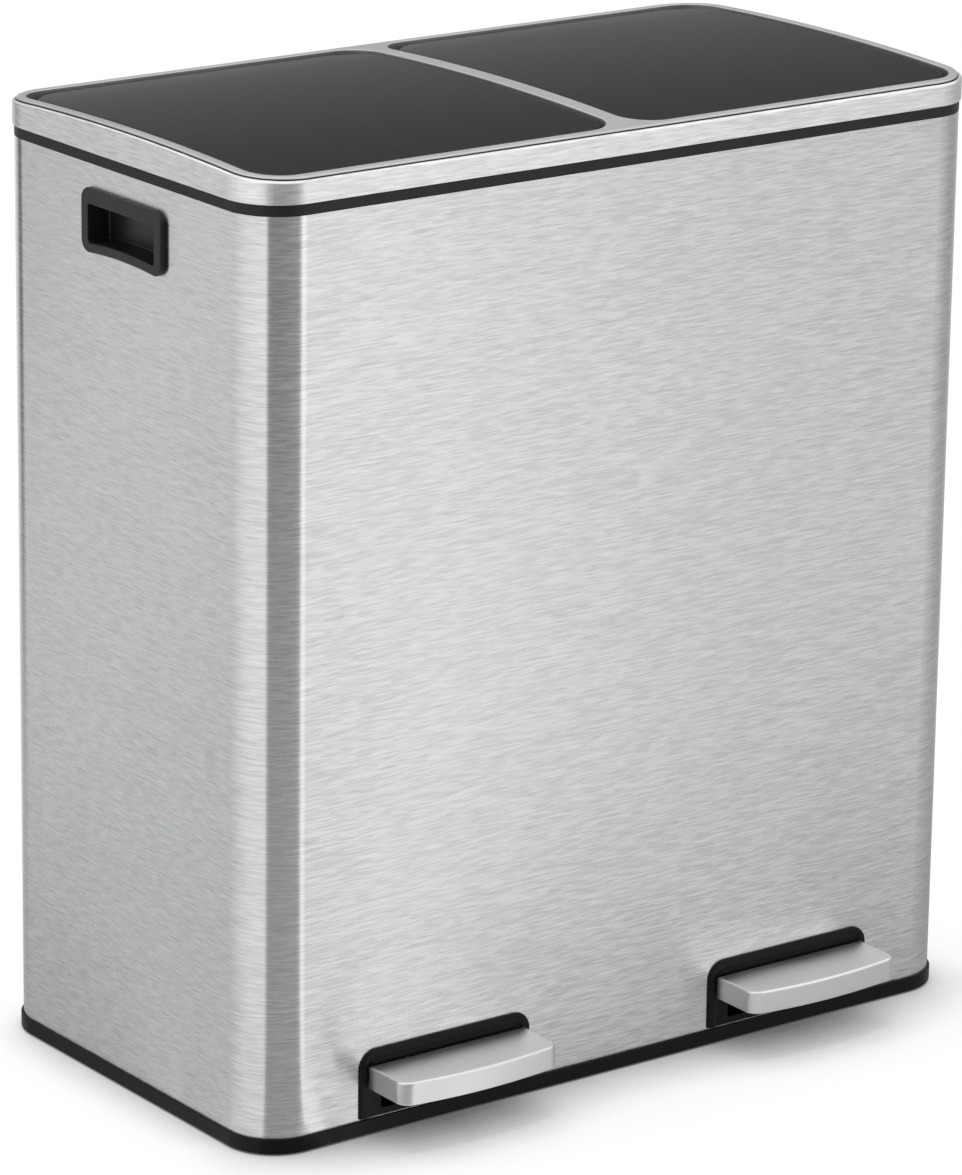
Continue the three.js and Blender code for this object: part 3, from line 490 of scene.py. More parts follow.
def linear(code: str) -> tuple[float, float, float, float]:
    """Turns an sRGB hex value such as #C9CACB to linear colour.

    Args:
        code: the value, as # and six digits.

    Returns:
        Red, green, blue and alpha, linear.
    """
    parts = [int(code[i : i + 2], 16) / 255 for i in (1, 3, 5)]
    red, green, blue = (p / 12.92 if p <= 0.04045 else ((p + 0.055) / 1.055) ** 2.4 for p in parts)
    return red, green, blue, 1.0


def cleared(owner: Material | bpy.types.World) -> Tree:
    """Empties the node tree of a material or a world.

    Args:
        owner: the material or the world.

    Returns:
        Its node tree, empty.
    """
    owner.use_nodes = True
    owner.node_tree.nodes.clear()
    return owner.node_tree


def add(
    tree: Tree,
    kind: str,
    settings: dict[str | int, Any] | None = None,
    links: dict[str | int, Source] | None = None,
) -> Node:
    """Adds a node to a tree.

    Args:
        tree: the node tree.
        kind: the node's type without the ShaderNode prefix.
        settings: values of its properties or of its input sockets, by name or place.
        links: what to link to each input, by its name or place: a socket or a node's first one.

    Returns:
        The node.
    """
    node = tree.nodes.new("ShaderNode" + kind)
    for key, value in (settings or {}).items():
        if isinstance(key, int) or key in node.inputs:
            node.inputs[key].default_value = value
        else:
            setattr(node, key, value)
    for key, source in (links or {}).items():
        tree.links.new(source.outputs[0] if isinstance(source, Node) else source, node.inputs[key])
    return node


@dataclass(frozen=True)
class Finish:
    """A surface: what it is made of, its colour and how it shines."""

    name: str
    colour: str
    roughness: float
    metallic: float = 0.0
    specular: float = 0.5

    def build(self) -> Material:
        """Builds the material.

        Returns:
            The material.
        """
        material = bpy.data.materials.new(self.name)
        tree = cleared(material)
        settings = {
            "Base Color": linear(self.colour),
            "Roughness": self.roughness,
            "Metallic": self.metallic,
        }
        if not self.metallic:
            settings["Specular IOR Level"] = self.specular
        shader = add(tree, "BsdfPrincipled", settings)
        add(tree, "OutputMaterial", links={"Surface": shader})
        self.detail(tree, shader, add(tree, "TexCoord").outputs["Object"])
        return material

    def detail(self, tree: Tree, shader: Node, place: Source) -> None:
        """Adds the surface's own grain to the shader."""
        raise NotImplementedError

    def shaded(self, tree: Tree, shader: Node, value: Source, tones: Point, gloss: Point) -> None:
        """Lets a pattern change the colour and the roughness.

        Args:
            tree: the node tree.
            shader: the shader.
            value: the pattern, 0 to 1.
            tones: the colour's share where the pattern is 0 and where it is 1.
            gloss: how much the roughness changes there.
        """
        share = add(tree, "MapRange", {"To Min": tones[0], "To Max": tones[1]}, {"Value": value})
        own = {"operation": "SCALE", 0: linear(self.colour)[:3]}
        colour = add(tree, "VectorMath", own, {"Scale": share})
        ends = {"To Min": self.roughness + gloss[0], "To Max": self.roughness + gloss[1]}
        rough = add(tree, "MapRange", ends, {"Value": value})
        tree.links.new(colour.outputs[0], shader.inputs["Base Color"])
        tree.links.new(rough.outputs[0], shader.inputs["Roughness"])

    def bumped(self, tree: Tree, shader: Node, value: Source, depth: float, strength: float) -> None:
        """Raises a pattern as bumps.

        Args:
            tree: the node tree.
            shader: the shader.
            value: the pattern, 0 to 1.
            depth: the height of the bumps, mm.
            strength: how much of them shows, 0 to 1.
        """
        settings = {"Strength": strength, "Distance": depth * MM}
        bump = add(tree, "Bump", settings, {"Height": value})
        tree.links.new(bump.outputs[0], shader.inputs["Normal"])


def noise(tree: Tree, place: Source, size: Sequence[float], detail: float = 2.0) -> Source:
    """Adds noise whose lumps have a size.

    Args:
        tree: the node tree.
        place: the coordinates, in metres.
        size: the lumps' size along x, y and z, mm.
        detail: octaves of finer noise in it.

    Returns:
        The noise, 0 to 1.
    """
    scale = tuple(1 / (s * MM) for s in size)
    stretched = add(tree, "VectorMath", {"operation": "MULTIPLY", 1: scale}, {0: place})
    # A lump fills about half a period of the noise, so its scale is half of one over the size.
    made = add(tree, "TexNoise", {"Scale": 0.5, "Detail": detail}, {"Vector": stretched})
    return made.outputs["Fac"]


def blended(tree: Tree, shares: Sequence[tuple[float, Source]]) -> Node:
    """Adds patterns up, each times its share.

    Args:
        tree: the node tree.
        shares: each pattern's share and the pattern.

    Returns:
        The node that gives the sum.
    """
    total: Node | None = None
    for share, value in shares:
        links = {0: value} if total is None else {0: value, 2: total}
        settings = {"operation": "MULTIPLY_ADD", 1: share, 2: 0.0}
        total = add(tree, "Math", settings, links)
    assert total is not None
    return total


def widened(tree: Tree, pattern: Source, half: float) -> Node:
    """Returns a pattern spread to 0 to 1 from the narrow band round 0.5 that noise keeps to."""
    band = {"From Min": 0.5 - half, "From Max": 0.5 + half}
    return add(tree, "MapRange", band, {"Value": pattern})


@dataclass(frozen=True)
class BrushedSteel(Finish):
    """Stainless steel sheet brushed with a belt, its grain level all round the bin."""

    grain_thickness: float = 0.6
    grain_length: float = 7.0
    anisotropy: float = 0.95
    tones: Point = (0.86, 1.12)
    gloss: float = 0.03
    scratch_tone: float = 0.86

    def detail(self, tree: Tree, shader: Node, place: Source) -> None:
        """Draws the belt's scratches: short level streaks, finer long ones, a faint waviness.

        Args:
            tree: the node tree.
            shader: the shader.
            place: the coordinates, in metres.
        """
        # A #180 belt leaves lines of about 0.1 mm; they are drawn 0.6 mm thick, so that the render
        # shows them.
        thick, length = self.grain_thickness, self.grain_length
        long = 3.2 * length
        streaks = noise(tree, place, (length, length, thick), 1.0)
        fine = noise(tree, place, (long, long, 0.5 * thick), 0.0)
        cloud = noise(tree, place, (60, 60, 14), 1.0)
        grain = widened(tree, blended(tree, [(0.66, streaks), (0.29, fine), (0.05, cloud)]), 0.14)
        shader.inputs["Anisotropic"].default_value = self.anisotropy
        shader.inputs["Anisotropic Rotation"].default_value = 0.25
        level = add(tree, "Tangent", {"direction_type": "RADIAL", "axis": "Z"})
        tree.links.new(level.outputs[0], shader.inputs["Tangent"])
        self.shaded(tree, shader, grain, self.tones, (-self.gloss, self.gloss))
        # The deepest scratches stand alone: dark, thin and a little longer.
        reach = 1.6 * length
        deep = noise(tree, place, (reach, reach, thick), 2.0)
        rare = {"From Min": 0.60, "From Max": 0.72, "To Min": 1.0, "To Max": self.scratch_tone}
        scratch = add(tree, "MapRange", rare, {"Value": deep})
        base = shader.inputs["Base Color"].links[0].from_socket
        links = {0: base, "Scale": scratch}
        scored = add(tree, "VectorMath", {"operation": "SCALE"}, links)
        tree.links.new(scored.outputs[0], shader.inputs["Base Color"])
        self.bumped(tree, shader, grain, 0.003, 0.2)


@dataclass(frozen=True)
class SatinMetal(Finish):
    """Metal, or lacquer that looks like it, with an even satin surface."""

    grit: float = 0.5
    depth: float = 0.01

    def detail(self, tree: Tree, shader: Node, place: Source) -> None:
        """Draws the fine grit of blasting or plating, and soft handling marks.

        Args:
            tree: the node tree.
            shader: the shader.
            place: the coordinates, in metres.
        """
        # The grit is about 0.1 mm; it is drawn several times coarser, so that the render shows it.
        grit = noise(tree, place, (self.grit,) * 3, 2.0)
        marks = noise(tree, place, (26, 26, 26), 3.0)
        pattern = widened(tree, blended(tree, [(0.35, grit), (0.65, marks)]), 0.15)
        self.shaded(tree, shader, pattern, (0.97, 1.03), (-0.03, 0.05))
        self.bumped(tree, shader, grit, self.depth, 0.3)


@dataclass(frozen=True)
class MouldedPlastic(Finish):
    """Injection-moulded plastic with a fine spark-eroded texture."""

    stipple: float = 0.8
    depth: float = 0.03
    worn: str = "#3A3A3B"
    edge: float = 0.8
    mottle: float = 0.1

    def detail(self, tree: Tree, shader: Node, place: Source) -> None:
        """Draws the mould's stipple, faint flow marks, and edges rubbed paler.

        Args:
            tree: the node tree.
            shader: the shader.
            place: the coordinates, in metres.
        """
        # The mould's texture has a pitch of about 0.2 mm; it is drawn coarser, so that the render
        # shows it.
        stipple = noise(tree, place, (self.stipple,) * 3, 2.0)
        flow = noise(tree, place, (45, 45, 45), 2.0)
        pattern = widened(tree, blended(tree, [(0.45, stipple), (0.55, flow)]), 0.15)
        tones = (1 - self.mottle, 1 + self.mottle)
        self.shaded(tree, shader, pattern, tones, (-self.mottle / 2, self.mottle / 2))
        self.bumped(tree, shader, stipple, self.depth, 0.25)
        if self.edge <= 0:
            return
        rounded = add(tree, "Bevel", {"samples": 4, "Radius": self.edge * MM})
        links = {0: rounded, 1: add(tree, "NewGeometry").outputs["Normal"]}
        apart = add(tree, "VectorMath", {"operation": "DOT_PRODUCT"}, links)
        turned = {"From Min": 0.985, "From Max": 0.86, "To Max": 0.6}
        rub = add(tree, "MapRange", turned, {"Value": apart.outputs["Value"]})
        base = shader.inputs["Base Color"].links[0].from_socket
        settings = {"data_type": "RGBA", 7: linear(self.worn)}
        paler = add(tree, "Mix", settings, {0: rub, 6: base})
        tree.links.new(paler.outputs[2], shader.inputs["Base Color"])


@dataclass(frozen=True)
class Finishes:
    """The bin's materials."""

    # Stainless steel, belt-brushed: pale grey with level streaks and a highlight drawn out upwards.
    steel: Material
    # The rim's pressed band, brushed more softly: its highlights spread sideways too.
    band: Material
    # Anodised aluminium strip: an even, soft pale grey, for the rim's narrow flange.
    flange: Material
    # ABS lacquered in metallic silver: bright edges and soft broad highlights, for the pedals.
    pedal: Material
    # Black polypropylene with a fine texture: deep grey with soft edges, for the collar and the rim's
    # seam, where its black is painted shade for the dark line in the gap.
    trim: Material
    # The same, moulded smoother: nearly black, for the base and the pedal surrounds.
    deep: Material
    # The same, smoother still: the hand grips, a shade paler in the light.
    grip: Material
    # Black ABS polished in the mould: a dark mirror that pales towards the far edge.
    lid: Material
    # Dark grey polypropylene: plain household bucket, slightly silky.
    bucket: Material
    # Zinc-plated steel: cool grey with cloudy spangle.
    zinc: Material
    # White nylon: slightly waxy.
    nylon: Material
    # Black rubber: matt and dusty.
    rubber: Material

    @classmethod
    def make(cls) -> Finishes:
        """Builds all the materials.

        Returns:
            The materials.
        """
        made = dict(
            steel=BrushedSteel("brushed_stainless_steel", "#D9DADB", 0.27, 1.0),
            band=BrushedSteel(
                "softly_brushed_stainless_steel", "#EAEBEC", 0.40, 1.0, anisotropy=0.45
            ),
            flange=SatinMetal("satin_anodised_aluminium", "#C6C7C8", 0.34, 0.6, depth=0.006),
            pedal=SatinMetal("satin_silver_lacquer", "#E6E7E7", 0.36, 1.0, depth=0.0015),
            trim=MouldedPlastic("black_polypropylene", "#222223", 0.44, specular=0.30),
            deep=MouldedPlastic(
                "deep_black_polypropylene", "#0C0C0D", 0.42, specular=0.18, worn="#29292A"
            ),
            grip=MouldedPlastic("smooth_black_polypropylene", "#1D1D1E", 0.40, specular=0.45),
            lid=MouldedPlastic(
                "polished_black_abs",
                "#101011",
                0.20,
                specular=0.12,
                stipple=3.0,
                depth=0.002,
                edge=0,
                mottle=0.02,
            ),
            bucket=MouldedPlastic(
                "grey_polypropylene", "#3E4144", 0.42, specular=0.45, worn="#5A5D60"
            ),
            zinc=SatinMetal("zinc_plated_steel", "#A9ABAD", 0.38, 1.0, grit=1.2),
            nylon=MouldedPlastic("white_nylon", "#D6D5CE", 0.42, worn="#E4E3DD", depth=0.01),
            rubber=MouldedPlastic("black_rubber", "#171717", 0.78, specular=0.3, depth=0.05),
        )
        return cls(**{word: finish.build() for word, finish in made.items()})


# The bin's sub-assemblies


@dataclass
class Plan:
    """Sizes that several sub-assemblies share, mm."""

    width: float = 585.0
    depth: float = 312.0
    corner: float = 35.5
    side_centre: float = 145.2
    shell_bottom: float = 8.0
    shell_top: float = 625.0
    skirt_bottom: float = 1.0
    floor_top: float = 7.7
    skirt_top: float = 11.5
    collar_bottom: float = 625.3
    collar_top: float = 632.2
    frame_bottom: float = 632.5
    frame_top: float = 650.0
    hinge_y: float = 137.5
    hinge_z: float = 641.7
    hinge_spread: float = 190.0
    hinge_radius: float = 3.5
    hinge_bore: float = 1.8
    bucket_width: float = 252.0
    bucket_depth: float = 246.0
    bucket_corner: float = 26.0
    bucket_centre: float = -15.5
    bucket_top: float = 628.0
    bucket_bottom: float = 48.06
    pivot_y: float = -70.0
    screw_place: float = 18.5
    screw_bore: float = 2.0
    pedal_rear: float = -158.8
    crown_rise: float = 4.9
    crown_drop: float = 1.0

    @property
    def casing(self) -> Outline:
        """Returns the casing's outline from above."""
        return Outline.centred(self.width, self.depth, self.corner, steps=24)

    @property
    def front(self) -> float:
        """Returns the casing's front face in y."""
        return -self.depth / 2

    @property
    def sides(self) -> tuple[float, float]:
        """Returns the middles of the two halves in x."""
        return -self.side_centre, self.side_centre

    @property
    def hinges(self) -> tuple[float, float]:
        """Returns the places of a lid's two hinges in x, from the middle of its half."""
        return -self.hinge_spread / 2, self.hinge_spread / 2

    def bucket(self, steps: int = 14) -> Outline:
        """Returns a bucket's rim from above, in its own half."""
        width, depth, corner = self.bucket_width, self.bucket_depth, self.bucket_corner
        return Outline.centred(width, depth, corner, 0, self.bucket_centre, steps)

    def bore(self, left: float, right: float) -> tuple[Operation, Former]:
        """Returns the tool that bores a hinge pin's hole between two places in x."""
        hole = Outline.circle(self.hinge_bore, self.hinge_y, self.hinge_z)
        return Operation.CUT, Former(Plane.SIDE).block(hole, left - 0.5, right + 0.5)

    def crown(self, y: float) -> float:
        """Returns how much the bin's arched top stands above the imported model's flat one at y."""
        return self.crown_rise * (1 - (y / (self.depth / 2)) ** 2) - self.crown_drop


@dataclass
class Grip:
    """A side handle: a raised edge round a closed recess, facing out through the casing's side."""

    plan: Plan
    length: float = 93.0
    height: float = 43.0
    top: float = 610.0
    middle: float = -1.5
    corner: float = 8.5
    proud: float = 3.7
    arch: float = 1.8
    inner_length: float = 77.0
    inner_height: float = 26.0
    inner_top: float = 599.5
    inner_corner: float = 2.5
    depth: float = 17.0
    wall: float = 2.0

    def oblong(self, length: float, height: float, top: float, corner: float) -> Outline:
        """Returns an upright outline whose lower side arches up as the grip's does."""
        left, right = self.middle - length / 2, self.middle + length / 2
        return Outline(left, right, top - height, top, corner, corner, -self.arch)

    def mouth(self, growth: float = 0.0) -> Outline:
        """Returns the recess's outline, grown by an amount."""
        sizes = self.inner_length, self.inner_height, self.inner_top, self.inner_corner
        return self.oblong(*sizes).grown(growth)

    def build(self, finishes: Finishes) -> None:
        """Builds and dresses both handles.

        Args:
            finishes: the built materials.
        """
        side_face = -self.plan.width / 2
        face, lip = side_face - self.proud, side_face - GAP
        floor = face + self.depth
        rim = [(0, lip, 0), (0, face, 1.3), (-2.0, face, 0)]
        recess = [(1.2, face, 0), (0, face, 0.8), (0, floor, 1.0), (-2.0, floor, 0)]
        for side in Side:
            former = Former(Plane.SIDE)
            edge = self.oblong(self.length, self.height, self.top, self.corner)
            outer = former.sweep(edge, eased(rim))
            inner = former.sweep(self.mouth(), eased(recess))
            sleeve = former.sweep(self.mouth(self.wall), [(0, lip), (0, floor + self.wall)])
            former.cap(outer[-1], [inner[0]])
            former.cap(inner[-1])
            former.cap(outer[0], [sleeve[0]])
            former.cap(sleeve[-1])
            if side is Side.RIGHT:
                former.mirror()
            name, node = f"{side.word}_carrying_grip", f"{side.word}_handle"
            dress(name, former.mesh(name), [finishes.grip], "root", node)


@dataclass
class Surround:
    """A black surround in the casing's front that a pedal's lever passes through."""

    plan: Plan
    width: float = 138.0
    bottom: float = 12.6
    top: float = 60.0
    corner: float = 13.0
    proud: float = 2.0
    bead: float = 7.5
    step: float = 0.8
    overlap: float = 3.0
    sleeve: float = 10.0
    slot_width: float = 104.0
    slot_bottom: float = 17.0
    slot_top: float = 46.0
    slot_corner: float = 1.5

    def outline(self, inset: float, below: float = 0.0) -> Outline:
        """Draws the surround's outline.

        Args:
            inset: how far to draw it in, mm.
            below: how far to let its foot down, mm.

        Returns:
            The outline.
        """
        half = self.width / 2
        outline = Outline(-half, half, self.bottom, self.top, SQUARE, self.corner).grown(-inset)
        return replace(outline, bottom=outline.bottom - below)

    def build(self, finishes: Finishes) -> None:
        """Builds and dresses both surrounds.

        Args:
            finishes: the built materials.
        """
        face = self.plan.front - self.proud
        lip = self.plan.front - GAP
        panel = face + self.step
        rear = lip + self.sleeve
        bead = [
            (0, lip, 0),
            (0, panel, 0.6),
            (-1.6, face, 1.4),
            (2.6 - self.bead, face, 1.6),
            (-self.bead, panel, 0.5),
            (-self.bead - 2, panel, 0),
        ]
        # The bead runs on below the surround and is cut level there, so that it has no lower edge.
        reach = SPREAD / 4
        foot = Outline.square(-reach, reach, self.bottom - 60, self.bottom)
        half = self.slot_width / 2
        mouth = Outline(
            -half, half, self.slot_bottom, self.slot_top, self.slot_corner, self.slot_corner
        )
        for side in Side:
            middle = side.value * self.plan.side_centre
            base = Former(Plane.FRONT, middle).solid(self.outline(0, 25.0), eased(bead, 5))
            below = Former(Plane.FRONT, middle).block(foot, -SPREAD, reach)
            tube = Former(Plane.FRONT, middle).block(self.outline(self.overlap), lip - 0.2, rear)
            slot = Former(Plane.FRONT, middle).block(mouth, face - 5, rear + 5)
            tools = [(Operation.CUT, below), (Operation.JOIN, tube), (Operation.CUT, slot)]
            name, node = f"{side.word}_pedal_bezel", f"{side.word}_pedal_surround"
            mesh = worked(name, base, tools)
            dress(name, mesh, [finishes.deep], "root", node, 40.0)


@dataclass
class Casing:
    """The wrapped steel sheet, with its lock seam at the back and the cut-outs in it."""

    plan: Plan
    grip: Grip
    surround: Surround
    sheet: float = 0.8
    seam_width: float = 12.0
    seam_gap: float = 1.0

    def build(self, finishes: Finishes) -> None:
        """Builds and dresses the casing.

        Args:
            finishes: the built materials.
        """
        plan = self.plan
        low, high = plan.shell_bottom, plan.shell_top
        section = [(0, low), (0, high), (-self.sheet, high), (-self.sheet, low)]
        base = Former()
        base.sweep(plan.casing, section, closed=True)
        rear, half = plan.depth / 2, self.seam_width / 2
        fold = Outline(
            -half, half, rear - self.sheet / 2, rear + self.sheet, SQUARE, 0.5, steps=4
        )
        seam = Former().block(fold, plan.skirt_top + self.seam_gap, high - self.seam_gap)
        tools = [(Operation.JOIN, seam)]
        hole = self.surround.outline(self.surround.overlap - GAP)
        for middle in plan.sides:
            tool = Former(Plane.FRONT, middle).block(hole, plan.front - 5, plan.front + 20)
            tools.append((Operation.CUT, tool))
        mouth = self.grip.mouth(self.grip.wall + GAP)
        tools.append((Operation.CUT, Former(Plane.SIDE).block(mouth, -SPREAD, SPREAD)))
        name = "casing_sheet"
        mesh = worked(name, base, tools)
        dress(name, mesh, [finishes.steel], "root", "outer_shell")


@dataclass
class Base:
    """The moulded base: skirt, floor, upstand and plinths, on four rubber feet."""

    plan: Plan
    surround: Surround
    proud: float = 1.7
    wall: float = 3.0
    floor_bottom: float = 4.7
    upstand_top: float = 23.7
    upstand_offset: float = 1.1
    upstand_wall: float = 2.5
    plinth_wall: float = 5.0
    plinth_spread: float = 160.0
    plinth_length: float = 190.0
    foot_radius: float = 13.0
    foot_inset: float = 42.0

    def section(self) -> list[Point]:
        """Draws the section from the floor's top over upstand and skirt to its underside.

        Returns:
            The section's points, as growth and height.
        """
        floor, skirt, low = self.plan.floor_top, self.plan.skirt_top, self.plan.skirt_bottom
        outer = -self.upstand_offset
        inner = outer - self.upstand_wall
        inside = self.proud - self.wall
        corners = [
            (inner - 3, floor, 0),
            (inner, floor, 1.2),
            (inner, self.upstand_top, 0.6),
            (outer, self.upstand_top, 0.6),
            (outer, floor, 0.2),
            (GAP, floor, 0.2),
            (GAP, skirt, 0.3),
            (self.proud, skirt, 0.8),
            (self.proud, low, 0.8),
            (inside, low, 0.6),
            (inside, self.floor_bottom, 0.8),
            (inside - 3, self.floor_bottom, 0),
        ]
        return eased(corners)

    def feet(self, finishes: Finishes) -> None:
        """Builds and dresses the four feet.

        Args:
            finishes: the built materials.
        """
        plan = self.plan
        across, along = plan.width / 2 - self.foot_inset, plan.depth / 2 - self.foot_inset
        top = self.floor_bottom - GAP
        disc = [(-3, 0.0, 0), (-1.2, 0.0, 0.5), (0, 1.2, 0.4), (0, top, 0), (-0.4, top, 0)]
        for row, y in (("front", -along), ("rear", along)):
            for side in Side:
                circle = Outline.circle(self.foot_radius, side.value * across, y)
                mesh_name, node = f"{row}_{side.word}_rubber_pad", f"{row}_{side.word}_foot"
                mesh = Former().solid(circle, eased(disc)).mesh(mesh_name)
                dress(mesh_name, mesh, [finishes.rubber], "root", node)

    def build(self, finishes: Finishes) -> None:
        """Builds and dresses the base and its feet.

        Args:
            finishes: the built materials.
        """
        plan = self.plan
        half = self.surround.width / 2
        rest = plan.bucket_bottom - GAP
        tools = []
        for middle in plan.sides:
            gap = Outline.square(-half, half, plan.front, plan.front / 2)
            notch = Former(middle=middle).block(gap, self.surround.bottom, self.upstand_top + 1)
            tools.append((Operation.CUT, notch))
            for place in (-self.plinth_spread / 2, self.plinth_spread / 2):
                foot = Outline.centred(
                    self.plinth_wall, self.plinth_length, 1.2, place, plan.bucket_centre, 4
                )
                rib = Former(middle=middle).block(foot, self.floor_bottom + 1, rest, 0.8)
                tools.append((Operation.JOIN, rib))
            for place in (-plan.screw_place, plan.screw_place):
                circle = Outline.circle(plan.screw_bore, place, plan.pivot_y)
                low, high = plan.skirt_bottom - 1, plan.floor_top + 1
                tools.append((Operation.CUT, Former(middle=middle).block(circle, low, high)))
        name = "base_moulding"
        mesh = worked(name, Former().solid(plan.casing, self.section()), tools)
        dress(name, mesh, [finishes.deep], "root", "base_tray")
        self.feet(finishes)


@dataclass
class Collar:
    """The black collar between casing and rim, with its deck, crank notches and hinge ears."""

    plan: Plan
    proud: float = 0.2
    spigot_depth: float = 20.0
    spigot_offset: float = 1.1
    spigot_wall: float = 2.0
    play: float = 2.5
    notch_width: float = 26.0
    notch_rear: float = 130.18
    notch_corner: float = 2.0
    ear_width: float = 4.0
    ear_inside: float = 6.0

    def build(self, finishes: Finishes) -> None:
        """Builds and dresses the collar.

        Args:
            finishes: the built materials.
        """
        plan = self.plan
        low, high = plan.collar_bottom, plan.collar_top
        foot, outer = low - self.spigot_depth, -self.spigot_offset
        inner = outer - self.spigot_wall
        corners = [
            (inner - 3, low, 0),
            (inner, low, 0.8),
            (inner, foot, 0.5),
            (outer, foot, 0.5),
            (outer, low, 0.2),
            (self.proud, low, 0.5),
            (self.proud, high, 0.5),
            (self.proud - 3, high, 0),
        ]
        half, reach = self.notch_width / 2, plan.hinge_radius
        notch = Outline(
            -half, half, plan.bucket_centre, self.notch_rear, SQUARE, self.notch_corner
        )
        front, rear = plan.hinge_y - reach, plan.hinge_y + reach
        ear = Outline(front, rear, low, plan.hinge_z + reach, SQUARE, reach - SQUARE, steps=8)
        mouth = plan.bucket().grown(self.play)
        tools = []
        for middle in plan.sides:
            tools.append((Operation.CUT, Former(middle=middle).block(mouth, foot, high + 1)))
            tools.append((Operation.CUT, Former(middle=middle).block(notch, low - 1, high + 1)))
            for hinge in plan.hinges:
                for start in (self.ear_inside, -self.ear_inside - self.ear_width):
                    left = middle + hinge + start
                    right = left + self.ear_width
                    tools.append((Operation.JOIN, Former(Plane.SIDE).block(ear, left, right, 0.3)))
                    tools.append(plan.bore(left, right))
        name = "deck_collar"
        mesh = worked(name, Former().solid(plan.casing, eased(corners)), tools)
        dress(name, mesh, [finishes.trim], "root", "top_collar")


@dataclass
class LidFrame:
    """The rim: a brushed band, and a satin flange and divider round the openings, arched."""

    plan: Plan
    proud: float = 1.4
    wall: float = 2.0
    top: float = 3.0
    step: float = 1.7
    rounding: float = 2.0
    seam_inset: float = 2.3
    seam_width: float = 0.6
    seam_depth: float = 0.4
    strip: float = 0.95
    flange: float = 10.0
    divider: float = 13.0
    corner: float = 25.0
    lip_wall: float = 1.5
    lip_depth: float = 12.0

    def opening(self, middle: float) -> Outline:
        """Draws an opening's outline.

        Args:
            middle: the opening's middle in x, mm.

        Returns:
            The outline.
        """
        width = (self.plan.width + 2 * self.proud - 2 * self.flange - self.divider) / 2
        depth = self.plan.depth + 2 * self.proud - 2 * self.flange
        return Outline.centred(width, depth, self.corner, middle, 0, 18)

    def lift(self, y: float, z: float) -> float:
        """Lifts a point of the rim: not at all at its foot, by the whole crown at its top.

        Args:
            y: the point's y, mm.
            z: the point's z, mm.

        Returns:
            How far it rises, mm.
        """
        low = self.plan.frame_bottom
        share = (z - low) / (self.plan.frame_top - self.step - self.rounding - low)
        return min(max(share, 0.0), 1.0) * self.plan.crown(y)

    def build(self, finishes: Finishes) -> None:
        """Builds and dresses the rim: slot 0 is brushed, slot 1 satin and slot 2 the seam, whose black
        is painted shade.

        Args:
            finishes: the built materials.
        """
        plan = self.plan
        low, high = plan.frame_bottom, plan.frame_top
        under, band_top = high - self.top, high - self.step
        former = Former()
        outline = plan.casing.grown(self.proud)
        shell = [
            (-self.wall - 4, under, 0),
            (-self.wall, under, 1.0),
            (-self.wall, low, 0.3),
            (0, low, 0.4),
            (0, band_top, self.rounding),
            (-self.seam_inset, band_top, 0),
        ]
        band = former.sweep(outline, eased(shell, 6))
        # The flange is a strip of its own, a little higher than the band: a real groove parts them,
        # and its faces are coloured black as painted shade for the dark line in the gap.
        outer, inner = -self.seam_inset, -self.seam_inset - self.seam_width
        bed, start = band_top - self.seam_depth, high - self.strip
        painted_shade_groove = [(outer, band_top), (outer - 0.1, bed), (inner + 0.1, bed), (inner, start)]
        edge = [(inner, start), (inner - 0.1, high - 0.5), (inner - 0.4, high - 0.18)]
        # The groove's faces take slot 2, black: painted shade for the dark line in the gap.
        seam = former.sweep(outline, painted_shade_groove, 2)
        strip = former.sweep(outline, [*edge, (inner - 1.0, high)], 1)
        former.wall(band[-1], seam[0])
        former.wall(seam[-1], strip[0], 1)
        foot = high - self.lip_depth
        lip = [
            (1.1, high, 0),
            (0, high, 0.7),
            (0, foot, 0.4),
            (self.lip_wall, foot, 0.4),
            (self.lip_wall, under, 0.4),
            (self.lip_wall + 1.5, under, 0),
        ]
        lips = [former.sweep(self.opening(middle), eased(lip), 1) for middle in plan.sides]
        former.cap(strip[-1], [loops[0] for loops in lips], 1)
        former.cap(band[0], [loops[-1] for loops in lips])
        former.crown(self.lift)
        name = "rim_frame"
        finish = [finishes.band, finishes.flange, finishes.trim]
        dress(name, former.mesh(name), finish, "root", "lid_frame", 44.0)


